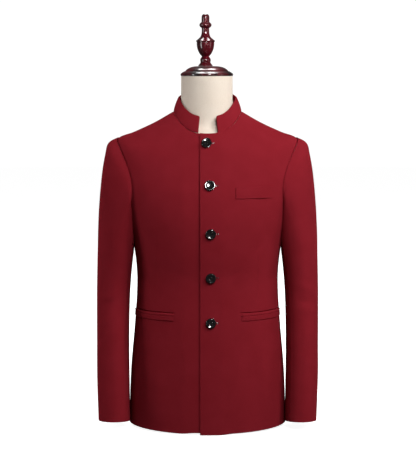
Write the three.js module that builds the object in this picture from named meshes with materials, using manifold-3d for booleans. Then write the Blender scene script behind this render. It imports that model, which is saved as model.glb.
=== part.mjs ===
// A stand-collar tailored jacket, buttoned up, on a limbless tabletop dress form.
// Millimetres, +Z up. The front faces -Y, and the wearer's left is on +X.
// Every piece of cloth is a thin closed wall between an outer and an inner grid of points.

import * as THREE from "three";
import { mergeVertices } from "three/addons/utils/BufferGeometryUtils.js";
import Module from "manifold-3d";

const wasm = await Module();
wasm.setup();

// Driving dimensions

const CLOTH = 1.8; // wall of the canvassed wool in body and sleeves
const COLLAR_CLOTH = 2.4; // the stand collar is interlined, so it is thicker
const SEAM_GAP = 0.4; // between two pieces that are sewn together
const REST_GAP = 0.8; // between the cloth and the form that carries it, at the shoulders

const SEAM_ANGLE = 96; // degrees from centre front to the side and shoulder seams
const ARMHOLE = { top: 136, bottom: 315, frontReach: 40, backReach: 32 }; // stations, degrees

const FRONT = {
  overEdgeX: -16.5, // edge of the left front, which buttons over the right
  underEdgeX: -25, // edge of the right front, on its own mirrored side
  overLift: 1.5, // how far the left front stands out over the lap
  underLift: -1.5, // how far the right front sinks under it
  lapFull: 26, // distance from centre within which a front has its full lift
  lapNone: 60, // distance from centre where a front is back on the plain surface
  overHemDrop: 1.8, // how much longer the left front is cut at the lap
  underHemDrop: -2.2, // how much shorter the right front is there
};
const HEM_STATION = 786;

const BUTTON = { radius: 11.2, thick: 4.2, rim: 2.2, dish: 1.3, holeRadius: 1.1, holeSpread: 2.5 };
const BUTTON_PLACES = [
  { name: "button_1", x: -2, z: 648 },
  { name: "button_2", x: 5, z: 558 },
  { name: "button_3", x: 7, z: 454 },
  { name: "button_4", x: 7.5, z: 356 },
  { name: "button_5", x: 7.5, z: 256 },
];

const WELT_THICK = 1.3;
const WELT_LIFT = 0.8; // from the front to the back of a welt
const BREAST_WELT = { innerX: 61, outerX: 141, lowInner: 529.5, lowOuter: 529.5, high: 25 };
const HIP_WELT = { innerX: 75, outerAngle: 86, low: 259, high: 15.5 };

const COLLAR = { wearerLeftX: 19, wearerRightX: 17, lift: 1.1, bow: 1.2 };

const FLOOR_Z = 4.5; // what the form's base stands on, just under the hem
const NECK = { x: -1.5, radius: 57.3, top: 793 };
const CAP_RADIUS = 58.2;
const FINIAL_X = -4.5;
const TURNED_GAP = 0.3;

// The jacket's body, ring by ring from the neckline down.
// station: distance down the side from the neckline. half, front, back: half-sizes of the ring.
// side, fore, rear: heights of the ring at the side, centre front and centre back.
// square: exponent of the ring's outline. dip: how far the ring hangs between front and side.
const BODY_RINGS = [
  { station: 0, half: 76, front: 80, back: 72, side: 715, fore: 669, rear: 726, square: 2.0, dip: 6.5 },
  { station: 47, half: 118, front: 92, back: 90, side: 691, fore: 645, rear: 698, square: 1.9, dip: 3 },
  { station: 97, half: 164, front: 101, back: 102, side: 669.8, fore: 619, rear: 668, square: 1.82, dip: 0 },
  { station: 136, half: 200, front: 107, back: 109, side: 654.5, fore: 596, rear: 642, square: 1.82, dip: 0 },
  { station: 175, half: 205, front: 114, back: 113, side: 620, fore: 567, rear: 617, square: 1.95, dip: 0 },
  { station: 235, half: 199, front: 121, back: 115, side: 561, fore: 529, rear: 561, square: 2.1, dip: 0 },
  { station: 315, half: 180, front: 124, back: 111, side: 481, fore: 470, rear: 481, square: 2.2, dip: 0 },
  { station: 385, half: 164.5, front: 118, back: 102, side: 412, fore: 408, rear: 412, square: 2.25, dip: 0 },
  { station: 457, half: 158.5, front: 109, back: 92, side: 340, fore: 340, rear: 340, square: 2.25, dip: 0 },
  { station: 549, half: 163.5, front: 109, back: 99, side: 248, fore: 248, rear: 248, square: 2.2, dip: 0 },
  { station: 664, half: 173.5, front: 111, back: 109, side: 133, fore: 133, rear: 133, square: 2.15, dip: 0 },
  { station: 786, half: 178, front: 113, back: 114, side: 13, fore: 7.5, rear: 12, square: 2.1, dip: 0 },
];

// The left sleeve below the armhole. x, y: middle of each ring at height z. across, deep: half-sizes.
// turn: degrees that its front end is turned in. tilt: degrees that its front end is raised.
const SLEEVE_RINGS = [
  { z: 458, x: 202.4, y: 4, across: 39, deep: 66, turn: 18, tilt: 0 },
  { z: 400, x: 207.6, y: 7, across: 37.5, deep: 62, turn: 14, tilt: 0 },
  { z: 340, x: 211.6, y: 9, across: 36.2, deep: 58, turn: 10, tilt: 0 },
  { z: 285, x: 213.4, y: 6, across: 35.3, deep: 56, turn: 8, tilt: 2 },
  { z: 195, x: 213.8, y: -6, across: 34.7, deep: 53.5, turn: 6, tilt: 5 },
  { z: 105, x: 212.7, y: -19, across: 34.8, deep: 51, turn: 5, tilt: 7 },
  { z: 17, x: 210.4, y: -31, across: 34.2, deep: 49, turn: 5, tilt: 7 },
];
const CUFF_Z = 20.5;
const BICEPS_Z = 458;
const SLEEVE_SQUARE = 2.2;
const SLEEVE_FRONT_SEAM = 126; // degrees round the sleeve, from its outer side towards the front
const SLEEVE_BACK_SEAM = -90;
const SLEEVE_SEAM_TURN = 0.6; // degrees from a sleeve seam to the piece on each side of it
// How far the sleeve stays off the body's cloth, at its seam and where it hangs, and how softly.
const SLEEVE_CLEAR = { sewn: 0.6, hanging: 2, sewnSoftness: 0.3, hangingSoftness: 2, freeAtRow: 0.2 };
// How the sleeve leaves the armhole, at its top and at its foot, and how hard its ends are pulled.
const HEAD_LEAVE = { outTop: 0.95, outFoot: 0.05, aside: 0.22, downTop: 0.3, downFoot: 1 };
const HEAD_PULL = { leave: 0.72, arrive: 0.95, arriveStep: 12 };
const SHOULDER = { row: 0.14, reach: 0.1, out: 4.6, up: 0.4 }; // the padded corner of the sleeve's head
const CAP_ROWS = [0, 0.05, 0.12, 0.22, 0.36, 0.54, 0.76, 1];

// How far the form lies inside the cloth, beyond the cloth's own wall, at each station.
const FORM_EASE = [
  { station: 0, ease: 1.5 },
  { station: 47, ease: REST_GAP },
  { station: 97, ease: 1.5 },
  { station: 136, ease: 1.8 },
  { station: 175, ease: 2.4 },
  { station: 235, ease: 3.5 },
  { station: 315, ease: 7 },
  { station: 457, ease: 11 },
  { station: 664, ease: 22 },
  { station: 786, ease: 30 },
];

// Turned wood, as pairs of radius and height above the piece's foot.
const CAP_PROFILE = [
  [0, 0], [57.2, 0], [CAP_RADIUS, 1.4], [57.8, 5.2], [50.2, 10.4], [48.2, 10.6],
  [45, 14.2], [38, 18.4], [28.5, 21], [15.5, 21.8], [0, 21.8],
];
const FINIAL_PROFILE = [
  [0, 0], [16.2, 0], [15.2, 2.1], [12.4, 5.5], [10.8, 8.3], [11.5, 11.1], [11.5, 15.3],
  [9.4, 18.5], [7.8, 21.3], [11.6, 25.3], [15.2, 31.1], [18.2, 39.3], [19.4, 47.7], [19.3, 52.9],
  [21, 54.1], [20.8, 55.9], [16.4, 59.3], [11.6, 63.9], [9.2, 69.3], [8.4, 75.7], [8.3, 83.5],
  [10.9, 85.1], [13.3, 88.7], [13, 92.3], [9.8, 95.9], [8.6, 97.1], [8.6, 107.3], [7.4, 111.7],
  [4.6, 113.8], [0, 114.2],
];

const WOOL = { color: 0x74141f, roughness: 0.82, metalness: 0 };
const LINEN = { color: 0xd9cfbf, roughness: 0.9, metalness: 0 };
const MAHOGANY = { color: 0x3a0f12, roughness: 0.22, metalness: 0 };
const HORN = { color: 0x17161a, roughness: 0.25, metalness: 0 };

// Curves through a table

// A smooth function of the table's first column, through the named column of every row.
function through(rows, along, column) {
  const at = rows.map((row) => row[along]);
  const value = rows.map((row) => row[column]);
  const last = rows.length - 1;
  const slope = value.map((_, i) => {
    const a = Math.max(i - 1, 0);
    const b = Math.min(i + 1, last);
    return (value[b] - value[a]) / (at[b] - at[a]);
  });
  return (x) => {
    const rising = at[last] > at[0];
    let i = 0;
    while (i < last - 1 && (rising ? x > at[i + 1] : x < at[i + 1])) i += 1;
    const span = at[i + 1] - at[i];
    const u = THREE.MathUtils.clamp((x - at[i]) / span, -0.2, 1.2);
    const u2 = u * u;
    const u3 = u2 * u;
    return (
      (2 * u3 - 3 * u2 + 1) * value[i] +
      (u3 - 2 * u2 + u) * span * slope[i] +
      (3 * u2 - 2 * u3) * value[i + 1] +
      (u3 - u2) * span * slope[i + 1]
    );
  };
}

function tableCurves(rows, along) {
  const columns = Object.keys(rows[0]).filter((key) => key !== along);
  return Object.fromEntries(columns.map((key) => [key, through(rows, along, key)]));
}

const body = tableCurves(BODY_RINGS, "station");
const sleeve = tableCurves(SLEEVE_RINGS, "z");
const formEase = through(FORM_EASE, "station", "ease");

const radians = THREE.MathUtils.degToRad;
const signedPower = (v, power) => Math.sign(v) * Math.abs(v) ** power;

// The torso surface

// A point on the jacket's outer surface: angle in radians from centre front, positive to +X.
function torsoPoint(angle, station) {
  const s = Math.sin(angle);
  const c = Math.cos(angle);
  const power = 2 / body.square(station);
  const depth = c > 0 ? body.front(station) : body.back(station);
  const centre = c > 0 ? body.fore(station) : body.rear(station);
  const dip = c > 0 ? body.dip(station) * Math.sin(2 * angle) ** 2 : 0;
  return new THREE.Vector3(
    body.half(station) * signedPower(s, power),
    -depth * signedPower(c, power),
    body.side(station) * s * s + centre * c * c - dip,
  );
}

function torsoNormal(angle, station) {
  const step = 0.012;
  const across = torsoPoint(angle + step, station).sub(torsoPoint(angle - step, station));
  const down = torsoPoint(angle, station + 1).sub(torsoPoint(angle, station - 1));
  return down.cross(across).normalize();
}

// The torso surface moved out by lift, or in where lift is negative.
function offTorso(angle, station, lift) {
  return torsoPoint(angle, station).addScaledVector(torsoNormal(angle, station), lift);
}

// The angle at which a ring of the torso crosses x.
function angleAtX(x, station) {
  const share = Math.min(Math.abs(x) / body.half(station), 1);
  return Math.sign(x) * Math.asin(share ** (body.square(station) / 2));
}

// The station at which the front of the torso has height z, on the line at x.
function stationAt(x, z) {
  let low = 0;
  let high = HEM_STATION;
  for (let i = 0; i < 40; i += 1) {
    const middle = (low + high) / 2;
    if (torsoPoint(angleAtX(x, middle), middle).z > z) low = middle;
    else high = middle;
  }
  return (low + high) / 2;
}

// Moves a point sideways until it is at least clear outside the torso surface, with a soft onset.
function keepOffTorso(point, clear, softness) {
  let low = 0;
  let high = HEM_STATION;
  let angle = 0;
  for (let i = 0; i < 30; i += 1) {
    const middle = (low + high) / 2;
    const power = body.square(middle) / 2;
    const depth = point.y < 0 ? body.front(middle) : body.back(middle);
    const sideways = (Math.abs(point.x) / body.half(middle)) ** power;
    angle = Math.atan2(sideways, signedPower(-point.y / depth, power));
    if (torsoPoint(angle, middle).z > point.z) low = middle;
    else high = middle;
  }
  const surface = torsoPoint(angle, (low + high) / 2);
  const here = Math.hypot(point.x, point.y);
  const least = Math.hypot(surface.x, surface.y) + clear;
  const wanted = least + softness * Math.log1p(Math.exp((here - least) / softness));
  point.x *= wanted / here;
  point.y *= wanted / here;
  return point;
}

// Solids from grids

// A closed geometry from points and triangles, its faces turned to point out.
function closedGeometry(points, triangles) {
  let volume = 0;
  for (const [a, b, c] of triangles) {
    volume += points[a].dot(points[b].clone().cross(points[c]));
  }
  const index = triangles.flatMap(([a, b, c]) => (volume < 0 ? [a, c, b] : [a, b, c]));
  const geometry = new THREE.BufferGeometry().setFromPoints(points);
  geometry.setIndex(index);
  geometry.computeVertexNormals();
  return geometry;
}

// A wall of cloth between an outer and an inner grid, closed along its four edges.
function wallGeometry(outer, inner) {
  const rows = outer.length;
  const columns = outer[0].length;
  const points = [...outer.flat(), ...inner.flat()];
  const face = (r, c) => r * columns + c;
  const back = (r, c) => rows * columns + face(r, c);
  const triangles = [];
  const quad = (a, b, c, d) => triangles.push([a, b, c], [a, c, d]);
  for (let r = 0; r < rows - 1; r += 1) {
    for (let c = 0; c < columns - 1; c += 1) {
      quad(face(r, c), face(r + 1, c), face(r + 1, c + 1), face(r, c + 1));
      quad(back(r, c), back(r, c + 1), back(r + 1, c + 1), back(r + 1, c));
    }
    quad(face(r, 0), back(r, 0), back(r + 1, 0), face(r + 1, 0));
    quad(face(r, columns - 1), face(r + 1, columns - 1), back(r + 1, columns - 1), back(r, columns - 1));
  }
  for (let c = 0; c < columns - 1; c += 1) {
    quad(face(0, c), face(0, c + 1), back(0, c + 1), back(0, c));
    quad(face(rows - 1, c), back(rows - 1, c), back(rows - 1, c + 1), face(rows - 1, c + 1));
  }
  return closedGeometry(points, triangles);
}

// A solid of closed rings stacked on each other, with flat ends.
function ringStackGeometry(rings) {
  const columns = rings[0].length;
  const points = rings.flat();
  const triangles = [];
  for (let r = 0; r < rings.length - 1; r += 1) {
    for (let c = 0; c < columns; c += 1) {
      const next = (c + 1) % columns;
      const a = r * columns;
      const b = a + columns;
      triangles.push([a + c, b + c, b + next], [a + c, b + next, a + next]);
    }
  }
  const top = (rings.length - 1) * columns;
  for (let c = 1; c < columns - 1; c += 1) {
    triangles.push([0, c, c + 1], [top, top + c + 1, top + c]);
  }
  return closedGeometry(points, triangles);
}

function spread(from, to, count) {
  return Array.from({ length: count + 1 }, (_, i) => from + ((to - from) * i) / count);
}

// Stations for a panel: even to the armhole, closer at the armhole's ends, even to the hem.
function panelStations() {
  const middle = (ARMHOLE.top + ARMHOLE.bottom) / 2;
  const reach = (ARMHOLE.bottom - ARMHOLE.top) / 2;
  const upper = spread(0, ARMHOLE.top, 4);
  const arm = spread(0, Math.PI, 10).map((a) => middle - reach * Math.cos(a));
  const lower = spread(ARMHOLE.bottom, HEM_STATION, 11);
  return [...upper, ...arm.slice(1, -1), ...lower];
}

// The turn that moves a point of a ring by a distance along the ring.
function turnFor(distance, angle, station) {
  const step = 0.02;
  const chord = torsoPoint(angle + step, station).distanceTo(torsoPoint(angle - step, station));
  return (distance * 2 * step) / chord;
}

// The angle of a panel's outer edge: shoulder seam, then armhole, then side seam.
function panelEdgeAngle(station, reach) {
  const middle = (ARMHOLE.top + ARMHOLE.bottom) / 2;
  const share = (station - middle) / ((ARMHOLE.bottom - ARMHOLE.top) / 2);
  const opening = reach * Math.sqrt(Math.max(0, 1 - share * share));
  const angle = radians(SEAM_ANGLE - opening);
  return angle - Math.sign(reach) * turnFor(SEAM_GAP / 2, angle, station);
}

const FRONT_COLUMNS = 12;
const BACK_COLUMNS = 10;

// How fully the fronts are lifted or sunk for their lap at x, from 1 at the centre to 0.
function lapShare(x) {
  return 1 - THREE.MathUtils.smoothstep(Math.abs(x), FRONT.lapFull, FRONT.lapNone);
}

// One front: its wall runs from its edge at centre front to the shoulder seam, armhole and side seam.
function frontGeometry({ side, edgeX, lift, hemDrop }) {
  const grid = (depth) =>
    panelStations().map((station) => {
      const start = angleAtX(edgeX, station);
      const end = panelEdgeAngle(station, ARMHOLE.frontReach);
      return spread(start, end, FRONT_COLUMNS).map((angle) => {
        const lap = lapShare(torsoPoint(angle, station).x);
        const low = station === HEM_STATION ? station + hemDrop * lap : station;
        const point = offTorso(angle, low, lift * lap - depth);
        point.x *= side;
        return point;
      });
    });
  return wallGeometry(grid(0), grid(CLOTH));
}

// Half of the back, from the side seam to the centre back seam.
function backGeometry(side) {
  const grid = (depth) =>
    panelStations().map((station) => {
      const start = panelEdgeAngle(station, -ARMHOLE.backReach);
      const end = Math.PI - angleAtX(SEAM_GAP / 2, station);
      return spread(start, end, BACK_COLUMNS).map((angle) => {
        const point = offTorso(angle, station, -depth);
        point.x *= side;
        return point;
      });
    });
  return wallGeometry(grid(0), grid(CLOTH));
}

// The stand collar

const COLLAR_TOP = { half: 64.5, front: 66, back: 64, side: 748, fore: 706, rear: 772, dip: 7, setBack: 10 };
const COLLAR_COLUMNS = 36;
const COLLAR_ROWS = 4;

// A point of the collar: share 0 is its seam on the neckline and 1 its top edge.
function collarPoint(angle, share) {
  const s = Math.sin(angle);
  const c = Math.cos(angle);
  const foot = torsoPoint(angle, 0);
  const depth = c > 0 ? COLLAR_TOP.front : COLLAR_TOP.back;
  const centre = c > 0 ? COLLAR_TOP.fore : COLLAR_TOP.rear;
  const top = new THREE.Vector3(
    COLLAR_TOP.half * s,
    -depth * c + COLLAR_TOP.setBack * s * s,
    COLLAR_TOP.side * s * s + centre * c * c - (c > 0 ? COLLAR_TOP.dip * Math.sin(2 * angle) ** 2 : 0),
  );
  const bow = 1 + (COLLAR.bow / COLLAR_TOP.half) * Math.sin(Math.PI * share);
  foot.lerp(top, share);
  return foot.set(foot.x * bow, foot.y * bow, foot.z + COLLAR.lift * (1 - share));
}

function collarGeometry() {
  const start = Math.asin(COLLAR.wearerLeftX / COLLAR_TOP.half);
  const end = 2 * Math.PI - Math.asin(COLLAR.wearerRightX / COLLAR_TOP.half);
  const normalAt = (angle, share) => {
    const step = 0.01;
    const across = collarPoint(angle + step, share).sub(collarPoint(angle - step, share));
    const down = collarPoint(angle, share - step).sub(collarPoint(angle, share + step));
    return down.cross(across).normalize();
  };
  const grid = (depth) =>
    spread(0, 1, COLLAR_ROWS).map((share) =>
      spread(start, end, COLLAR_COLUMNS).map((angle) =>
        collarPoint(angle, share).addScaledVector(normalAt(angle, share), -depth),
      ),
    );
  return wallGeometry(grid(0), grid(COLLAR_CLOTH));
}

// The sleeves

// A point of the left sleeve's ring at height z: angle from its outer side towards the front.
function sleeveRingPoint(angle, z) {
  const power = 2 / SLEEVE_SQUARE;
  const out = sleeve.across(z) * signedPower(Math.cos(angle), power);
  const fore = sleeve.deep(z) * signedPower(Math.sin(angle), power);
  const turn = radians(sleeve.turn(z));
  const x = sleeve.x(z) + out * Math.cos(turn) - fore * Math.sin(turn);
  const y = sleeve.y(z) - out * Math.sin(turn) - fore * Math.cos(turn);
  const rise = (sleeve.y(z) - y) * Math.tan(radians(sleeve.tilt(z)));
  return new THREE.Vector3(x, y, z + rise);
}

// A point of the armhole's edge at the same angle round the sleeve.
function armholePoint(angle) {
  const middle = (ARMHOLE.top + ARMHOLE.bottom) / 2;
  const half = (ARMHOLE.bottom - ARMHOLE.top) / 2 - SEAM_GAP;
  const reach = Math.sin(angle) > 0 ? ARMHOLE.frontReach : ARMHOLE.backReach;
  const station = middle - half * Math.cos(angle);
  const open = radians(reach) - SEAM_GAP / body.half(station);
  return torsoPoint(radians(SEAM_ANGLE) - open * Math.sin(angle), station);
}

// How the sleeve leaves the armhole: out over the shoulder at its top, straight down at its foot.
function sleeveLeave(angle) {
  const foot = (1 - Math.cos(angle)) / 2;
  return new THREE.Vector3(
    THREE.MathUtils.lerp(HEAD_LEAVE.outTop, HEAD_LEAVE.outFoot, foot),
    -HEAD_LEAVE.aside * Math.sin(angle),
    -THREE.MathUtils.lerp(HEAD_LEAVE.downTop, HEAD_LEAVE.downFoot, foot),
  ).normalize();
}

// A point of the left sleeve: row 0 to 1 is its head, and 1 to 2 runs from biceps to cuff.
function sleevePoint(angle, row) {
  if (row > 1) {
    const z = BICEPS_Z + (CUFF_Z - BICEPS_Z) * (row - 1);
    return keepOffTorso(sleeveRingPoint(angle, z), SLEEVE_CLEAR.hanging, SLEEVE_CLEAR.hangingSoftness);
  }
  const from = armholePoint(angle);
  const to = sleeveRingPoint(angle, BICEPS_Z);
  const length = from.distanceTo(to);
  const leave = sleeveLeave(angle).multiplyScalar(HEAD_PULL.leave * length);
  const below = sleeveRingPoint(angle, BICEPS_Z - HEAD_PULL.arriveStep);
  const arrive = below.sub(to).multiplyScalar((HEAD_PULL.arrive * length) / HEAD_PULL.arriveStep);
  const r2 = row * row;
  const r3 = r2 * row;
  const point = from
    .multiplyScalar(2 * r3 - 3 * r2 + 1)
    .addScaledVector(leave, r3 - 2 * r2 + row)
    .addScaledVector(to, 3 * r2 - 2 * r3)
    .addScaledVector(arrive, r3 - r2);
  const head = Math.max(0, Math.cos(angle)) ** 2 * Math.exp(-(((row - SHOULDER.row) / SHOULDER.reach) ** 2));
  point.x += SHOULDER.out * head;
  point.z += SHOULDER.up * head;
  const away = Math.min(1, row / SLEEVE_CLEAR.freeAtRow);
  return keepOffTorso(
    point,
    THREE.MathUtils.lerp(SLEEVE_CLEAR.sewn, SLEEVE_CLEAR.hanging, away),
    THREE.MathUtils.lerp(SLEEVE_CLEAR.sewnSoftness, SLEEVE_CLEAR.hangingSoftness, away),
  );
}

function sleeveNormal(angle, row) {
  const step = 0.02;
  const round = sleevePoint(angle + step, row).sub(sleevePoint(angle - step, row));
  const low = Math.min(row + step, 2);
  const high = Math.max(row - step, 0);
  const down = sleevePoint(angle, low).sub(sleevePoint(angle, high));
  return round.cross(down).normalize();
}

function sleeveGeometry({ side, from, to, columns }) {
  const rows = [...CAP_ROWS, ...spread(1, 2, 10).slice(1)];
  const grid = (depth) =>
    rows.map((row) =>
      spread(radians(from), radians(to), columns).map((angle) => {
        const point = sleevePoint(angle, row).addScaledVector(sleeveNormal(angle, row), -depth);
        point.x *= side;
        return point;
      }),
    );
  return wallGeometry(grid(0), grid(CLOTH));
}

// Pockets

// A strip laid on a front: places gives, for each column, its lower and upper torso stations.
function stripGeometry(places, side) {
  const grid = (lift) =>
    [0, 0.5, 1].map((up) =>
      places.map(({ low, high }) => {
        const angle = THREE.MathUtils.lerp(low.angle, high.angle, up);
        const station = THREE.MathUtils.lerp(low.station, high.station, up);
        const point = offTorso(angle, station, lift);
        point.x *= side;
        return point;
      }),
    );
  return wallGeometry(grid(WELT_LIFT + WELT_THICK), grid(WELT_LIFT));
}

function breastWeltGeometry() {
  const place = (x, z) => {
    const station = stationAt(x, z);
    return { angle: angleAtX(x, station), station };
  };
  const places = spread(0, 1, 6).map((u) => {
    const x = THREE.MathUtils.lerp(BREAST_WELT.innerX, BREAST_WELT.outerX, u);
    const low = THREE.MathUtils.lerp(BREAST_WELT.lowInner, BREAST_WELT.lowOuter, u);
    return { low: place(x, low), high: place(x, low + BREAST_WELT.high) };
  });
  return stripGeometry(places, 1);
}

function hipWeltGeometry(side) {
  const low = stationAt(HIP_WELT.innerX, HIP_WELT.low);
  const high = stationAt(HIP_WELT.innerX, HIP_WELT.low + HIP_WELT.high);
  const start = angleAtX(HIP_WELT.innerX, (low + high) / 2);
  const places = spread(start, radians(HIP_WELT.outerAngle), 9).map((angle) => ({
    low: { angle, station: low },
    high: { angle, station: high },
  }));
  return stripGeometry(places, side);
}

// Buttons

// Turns a closed geometry into a solid that can be cut.
function solidFrom(geometry) {
  const bare = geometry.clone();
  bare.deleteAttribute("normal");
  bare.deleteAttribute("uv");
  const merged = mergeVertices(bare, 1e-4);
  return new wasm.Manifold(
    new wasm.Mesh({
      numProp: 3,
      vertProperties: merged.attributes.position.array,
      triVerts: new Uint32Array(merged.index.array),
    }),
  );
}

function geometryFrom(solid) {
  const mesh = solid.getMesh();
  const geometry = new THREE.BufferGeometry();
  geometry.setAttribute("position", new THREE.BufferAttribute(mesh.vertProperties, mesh.numProp));
  geometry.setIndex(new THREE.BufferAttribute(mesh.triVerts, 1));
  geometry.computeVertexNormals();
  return geometry;
}

// A round four-hole button with a raised rim, its back on z = 0 and its face up.
function buttonGeometry() {
  const { radius, thick, rim, dish } = BUTTON;
  const profile = [
    [0, 0], [radius - 1.6, 0], [radius, 1.4], [radius, thick - 0.9], [radius - 0.9, thick],
    [radius - rim, thick], [radius - rim - 1.5, thick - dish], [0, thick - dish - 0.2],
  ].map(([r, z]) => new THREE.Vector2(r, z));
  const disc = new THREE.LatheGeometry(profile, 18).rotateX(Math.PI / 2);
  let solid = solidFrom(disc);
  for (const x of [-1, 1]) {
    for (const y of [-1, 1]) {
      const hole = new THREE.CylinderGeometry(BUTTON.holeRadius, BUTTON.holeRadius, 4 * thick, 6);
      hole.rotateX(Math.PI / 2).translate(x * BUTTON.holeSpread, y * BUTTON.holeSpread, 0);
      solid = solid.subtract(solidFrom(hole));
    }
  }
  return geometryFrom(solid);
}

// Seats a button on the left front: its back just clears the cloth all round its rim.
function placeButton(mesh, { x, z }) {
  const station = stationAt(x, z);
  const angle = angleAtX(x, station);
  const normal = torsoNormal(angle, station);
  const seat = offTorso(angle, station, FRONT.overLift);
  const rises = spread(0, 2 * Math.PI, 12).map((turn) => {
    const rimX = x + BUTTON.radius * Math.cos(turn);
    const rimStation = station + BUTTON.radius * Math.sin(turn);
    const rim = offTorso(angleAtX(rimX, rimStation), rimStation, FRONT.overLift);
    return rim.sub(seat).dot(normal);
  });
  mesh.position.copy(seat).addScaledVector(normal, Math.max(0, ...rises) + SEAM_GAP);
  mesh.quaternion.setFromUnitVectors(new THREE.Vector3(0, 0, 1), normal);
}

// The dress form

const FORM_COLUMNS = 30;
const NECK_RINGS = [
  { share: 0.4, rise: 6 },
  { share: 0.82, rise: 15 },
  { share: 1, rise: 29 },
];

// A limbless torso that fills the jacket with ease to spare, and ends in a flat base.
function formGeometry() {
  const angles = spread(0, 2 * Math.PI, FORM_COLUMNS).slice(0, -1);
  const stations = panelStations();
  const torso = stations.map((station) =>
    angles.map((angle) => {
      const lap = Math.cos(angle) > 0 ? lapShare(torsoPoint(angle, station).x) : 0;
      return offTorso(angle, station, FRONT.underLift * lap - CLOTH - formEase(station));
    }),
  );
  const onNeck = (angle, z) =>
    new THREE.Vector3(NECK.x + NECK.radius * Math.sin(angle), -NECK.radius * Math.cos(angle), z);
  const neck = NECK_RINGS.map(({ share, rise }) =>
    torso[0].map((foot, i) => foot.clone().lerp(onNeck(angles[i], foot.z), share).setZ(foot.z + rise)),
  );
  const top = angles.map((angle) => onNeck(angle, NECK.top));
  const base = torso.at(-1).map((point) => point.clone().setZ(FLOOR_Z));
  return ringStackGeometry([top, ...neck.reverse(), ...torso, base]);
}

function turnedGeometry(profile, segments) {
  const points = profile.map(([r, z]) => new THREE.Vector2(r, z));
  return new THREE.LatheGeometry(points, segments).rotateX(Math.PI / 2);
}

function heightOf(profile) {
  return profile.at(-1)[1];
}

// The whole

const suit = new THREE.Group();

function add(name, geometry, look) {
  const mesh = new THREE.Mesh(geometry, new THREE.MeshStandardMaterial(look));
  mesh.name = name;
  suit.add(mesh);
  return mesh;
}

add(
  "front_left",
  frontGeometry({ side: 1, edgeX: FRONT.overEdgeX, lift: FRONT.overLift, hemDrop: FRONT.overHemDrop }),
  WOOL,
);
add(
  "front_right",
  frontGeometry({ side: -1, edgeX: FRONT.underEdgeX, lift: FRONT.underLift, hemDrop: FRONT.underHemDrop }),
  WOOL,
);
add("back_left", backGeometry(1), WOOL);
add("back_right", backGeometry(-1), WOOL);
add("collar", collarGeometry(), WOOL);

const UPPER_SLEEVE = {
  from: SLEEVE_BACK_SEAM + SLEEVE_SEAM_TURN,
  to: SLEEVE_FRONT_SEAM - SLEEVE_SEAM_TURN,
  columns: 12,
};
const UNDER_SLEEVE = {
  from: SLEEVE_FRONT_SEAM + SLEEVE_SEAM_TURN,
  to: SLEEVE_BACK_SEAM + 360 - SLEEVE_SEAM_TURN,
  columns: 8,
};
for (const [name, side] of [["left", 1], ["right", -1]]) {
  add(`upper_sleeve_${name}`, sleeveGeometry({ side, ...UPPER_SLEEVE }), WOOL);
  add(`under_sleeve_${name}`, sleeveGeometry({ side, ...UNDER_SLEEVE }), WOOL);
  add(`hip_welt_${name}`, hipWeltGeometry(side), WOOL);
}
add("breast_welt", breastWeltGeometry(), WOOL);

for (const place of BUTTON_PLACES) {
  placeButton(add(place.name, buttonGeometry(), HORN), place);
}

add("form_body", formGeometry(), LINEN);
const cap = add("neck_cap", turnedGeometry(CAP_PROFILE, 28), MAHOGANY);
cap.position.set(NECK.x, 0, NECK.top + TURNED_GAP);
const finial = add("finial", turnedGeometry(FINIAL_PROFILE, 16), MAHOGANY);
finial.position.set(FINIAL_X, 0, cap.position.z + heightOf(CAP_PROFILE) + TURNED_GAP);

// The origin is under the middle of the whole, on the surface that the form stands on.
const size = new THREE.Box3().setFromObject(suit);
const middle = size.getCenter(new THREE.Vector3());
suit.position.set(-middle.x, -middle.y, -size.min.z);

export default suit;
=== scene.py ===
"""A stand-collar tailored jacket, buttoned up, on a linen-covered tabletop dress form.

The cloth is laid out in millimetres on the same surfaces as the solids it replaces, and is turned
into metres as each mesh is made. The front faces -Y and the wearer's left is on +X.
"""

import logging
import math
from collections.abc import Callable
from dataclasses import dataclass, field, fields
from enum import Enum

import bpy
import numpy as np
from mathutils import Matrix, Vector

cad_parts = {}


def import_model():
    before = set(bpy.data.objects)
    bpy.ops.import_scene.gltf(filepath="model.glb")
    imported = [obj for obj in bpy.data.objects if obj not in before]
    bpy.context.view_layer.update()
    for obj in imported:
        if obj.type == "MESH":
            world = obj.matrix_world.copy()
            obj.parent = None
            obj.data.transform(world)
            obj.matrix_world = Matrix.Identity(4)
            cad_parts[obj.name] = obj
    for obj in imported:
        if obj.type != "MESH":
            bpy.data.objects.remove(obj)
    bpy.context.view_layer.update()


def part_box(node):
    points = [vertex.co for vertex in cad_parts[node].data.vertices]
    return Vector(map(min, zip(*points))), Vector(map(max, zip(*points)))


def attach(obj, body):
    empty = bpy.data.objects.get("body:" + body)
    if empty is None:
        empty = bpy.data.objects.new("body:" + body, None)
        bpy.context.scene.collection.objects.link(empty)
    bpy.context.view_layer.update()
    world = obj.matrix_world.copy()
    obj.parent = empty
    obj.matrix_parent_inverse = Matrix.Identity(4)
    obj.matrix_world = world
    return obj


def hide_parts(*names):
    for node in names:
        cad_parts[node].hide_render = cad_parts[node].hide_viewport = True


LOG = logging.getLogger("jacket")
MM = 0.001
HALVINGS = 34
BAND = math.tau / 20
SIDES = {1: "left", -1: "right"}
NORMAL_STEP = 0.012
CHORD_STEP = 0.02
RIM_STEPS = (0, 0.1, 0.35, 0.7, 1.0, 1.7, 3.0)


# Curves through tables


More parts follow.
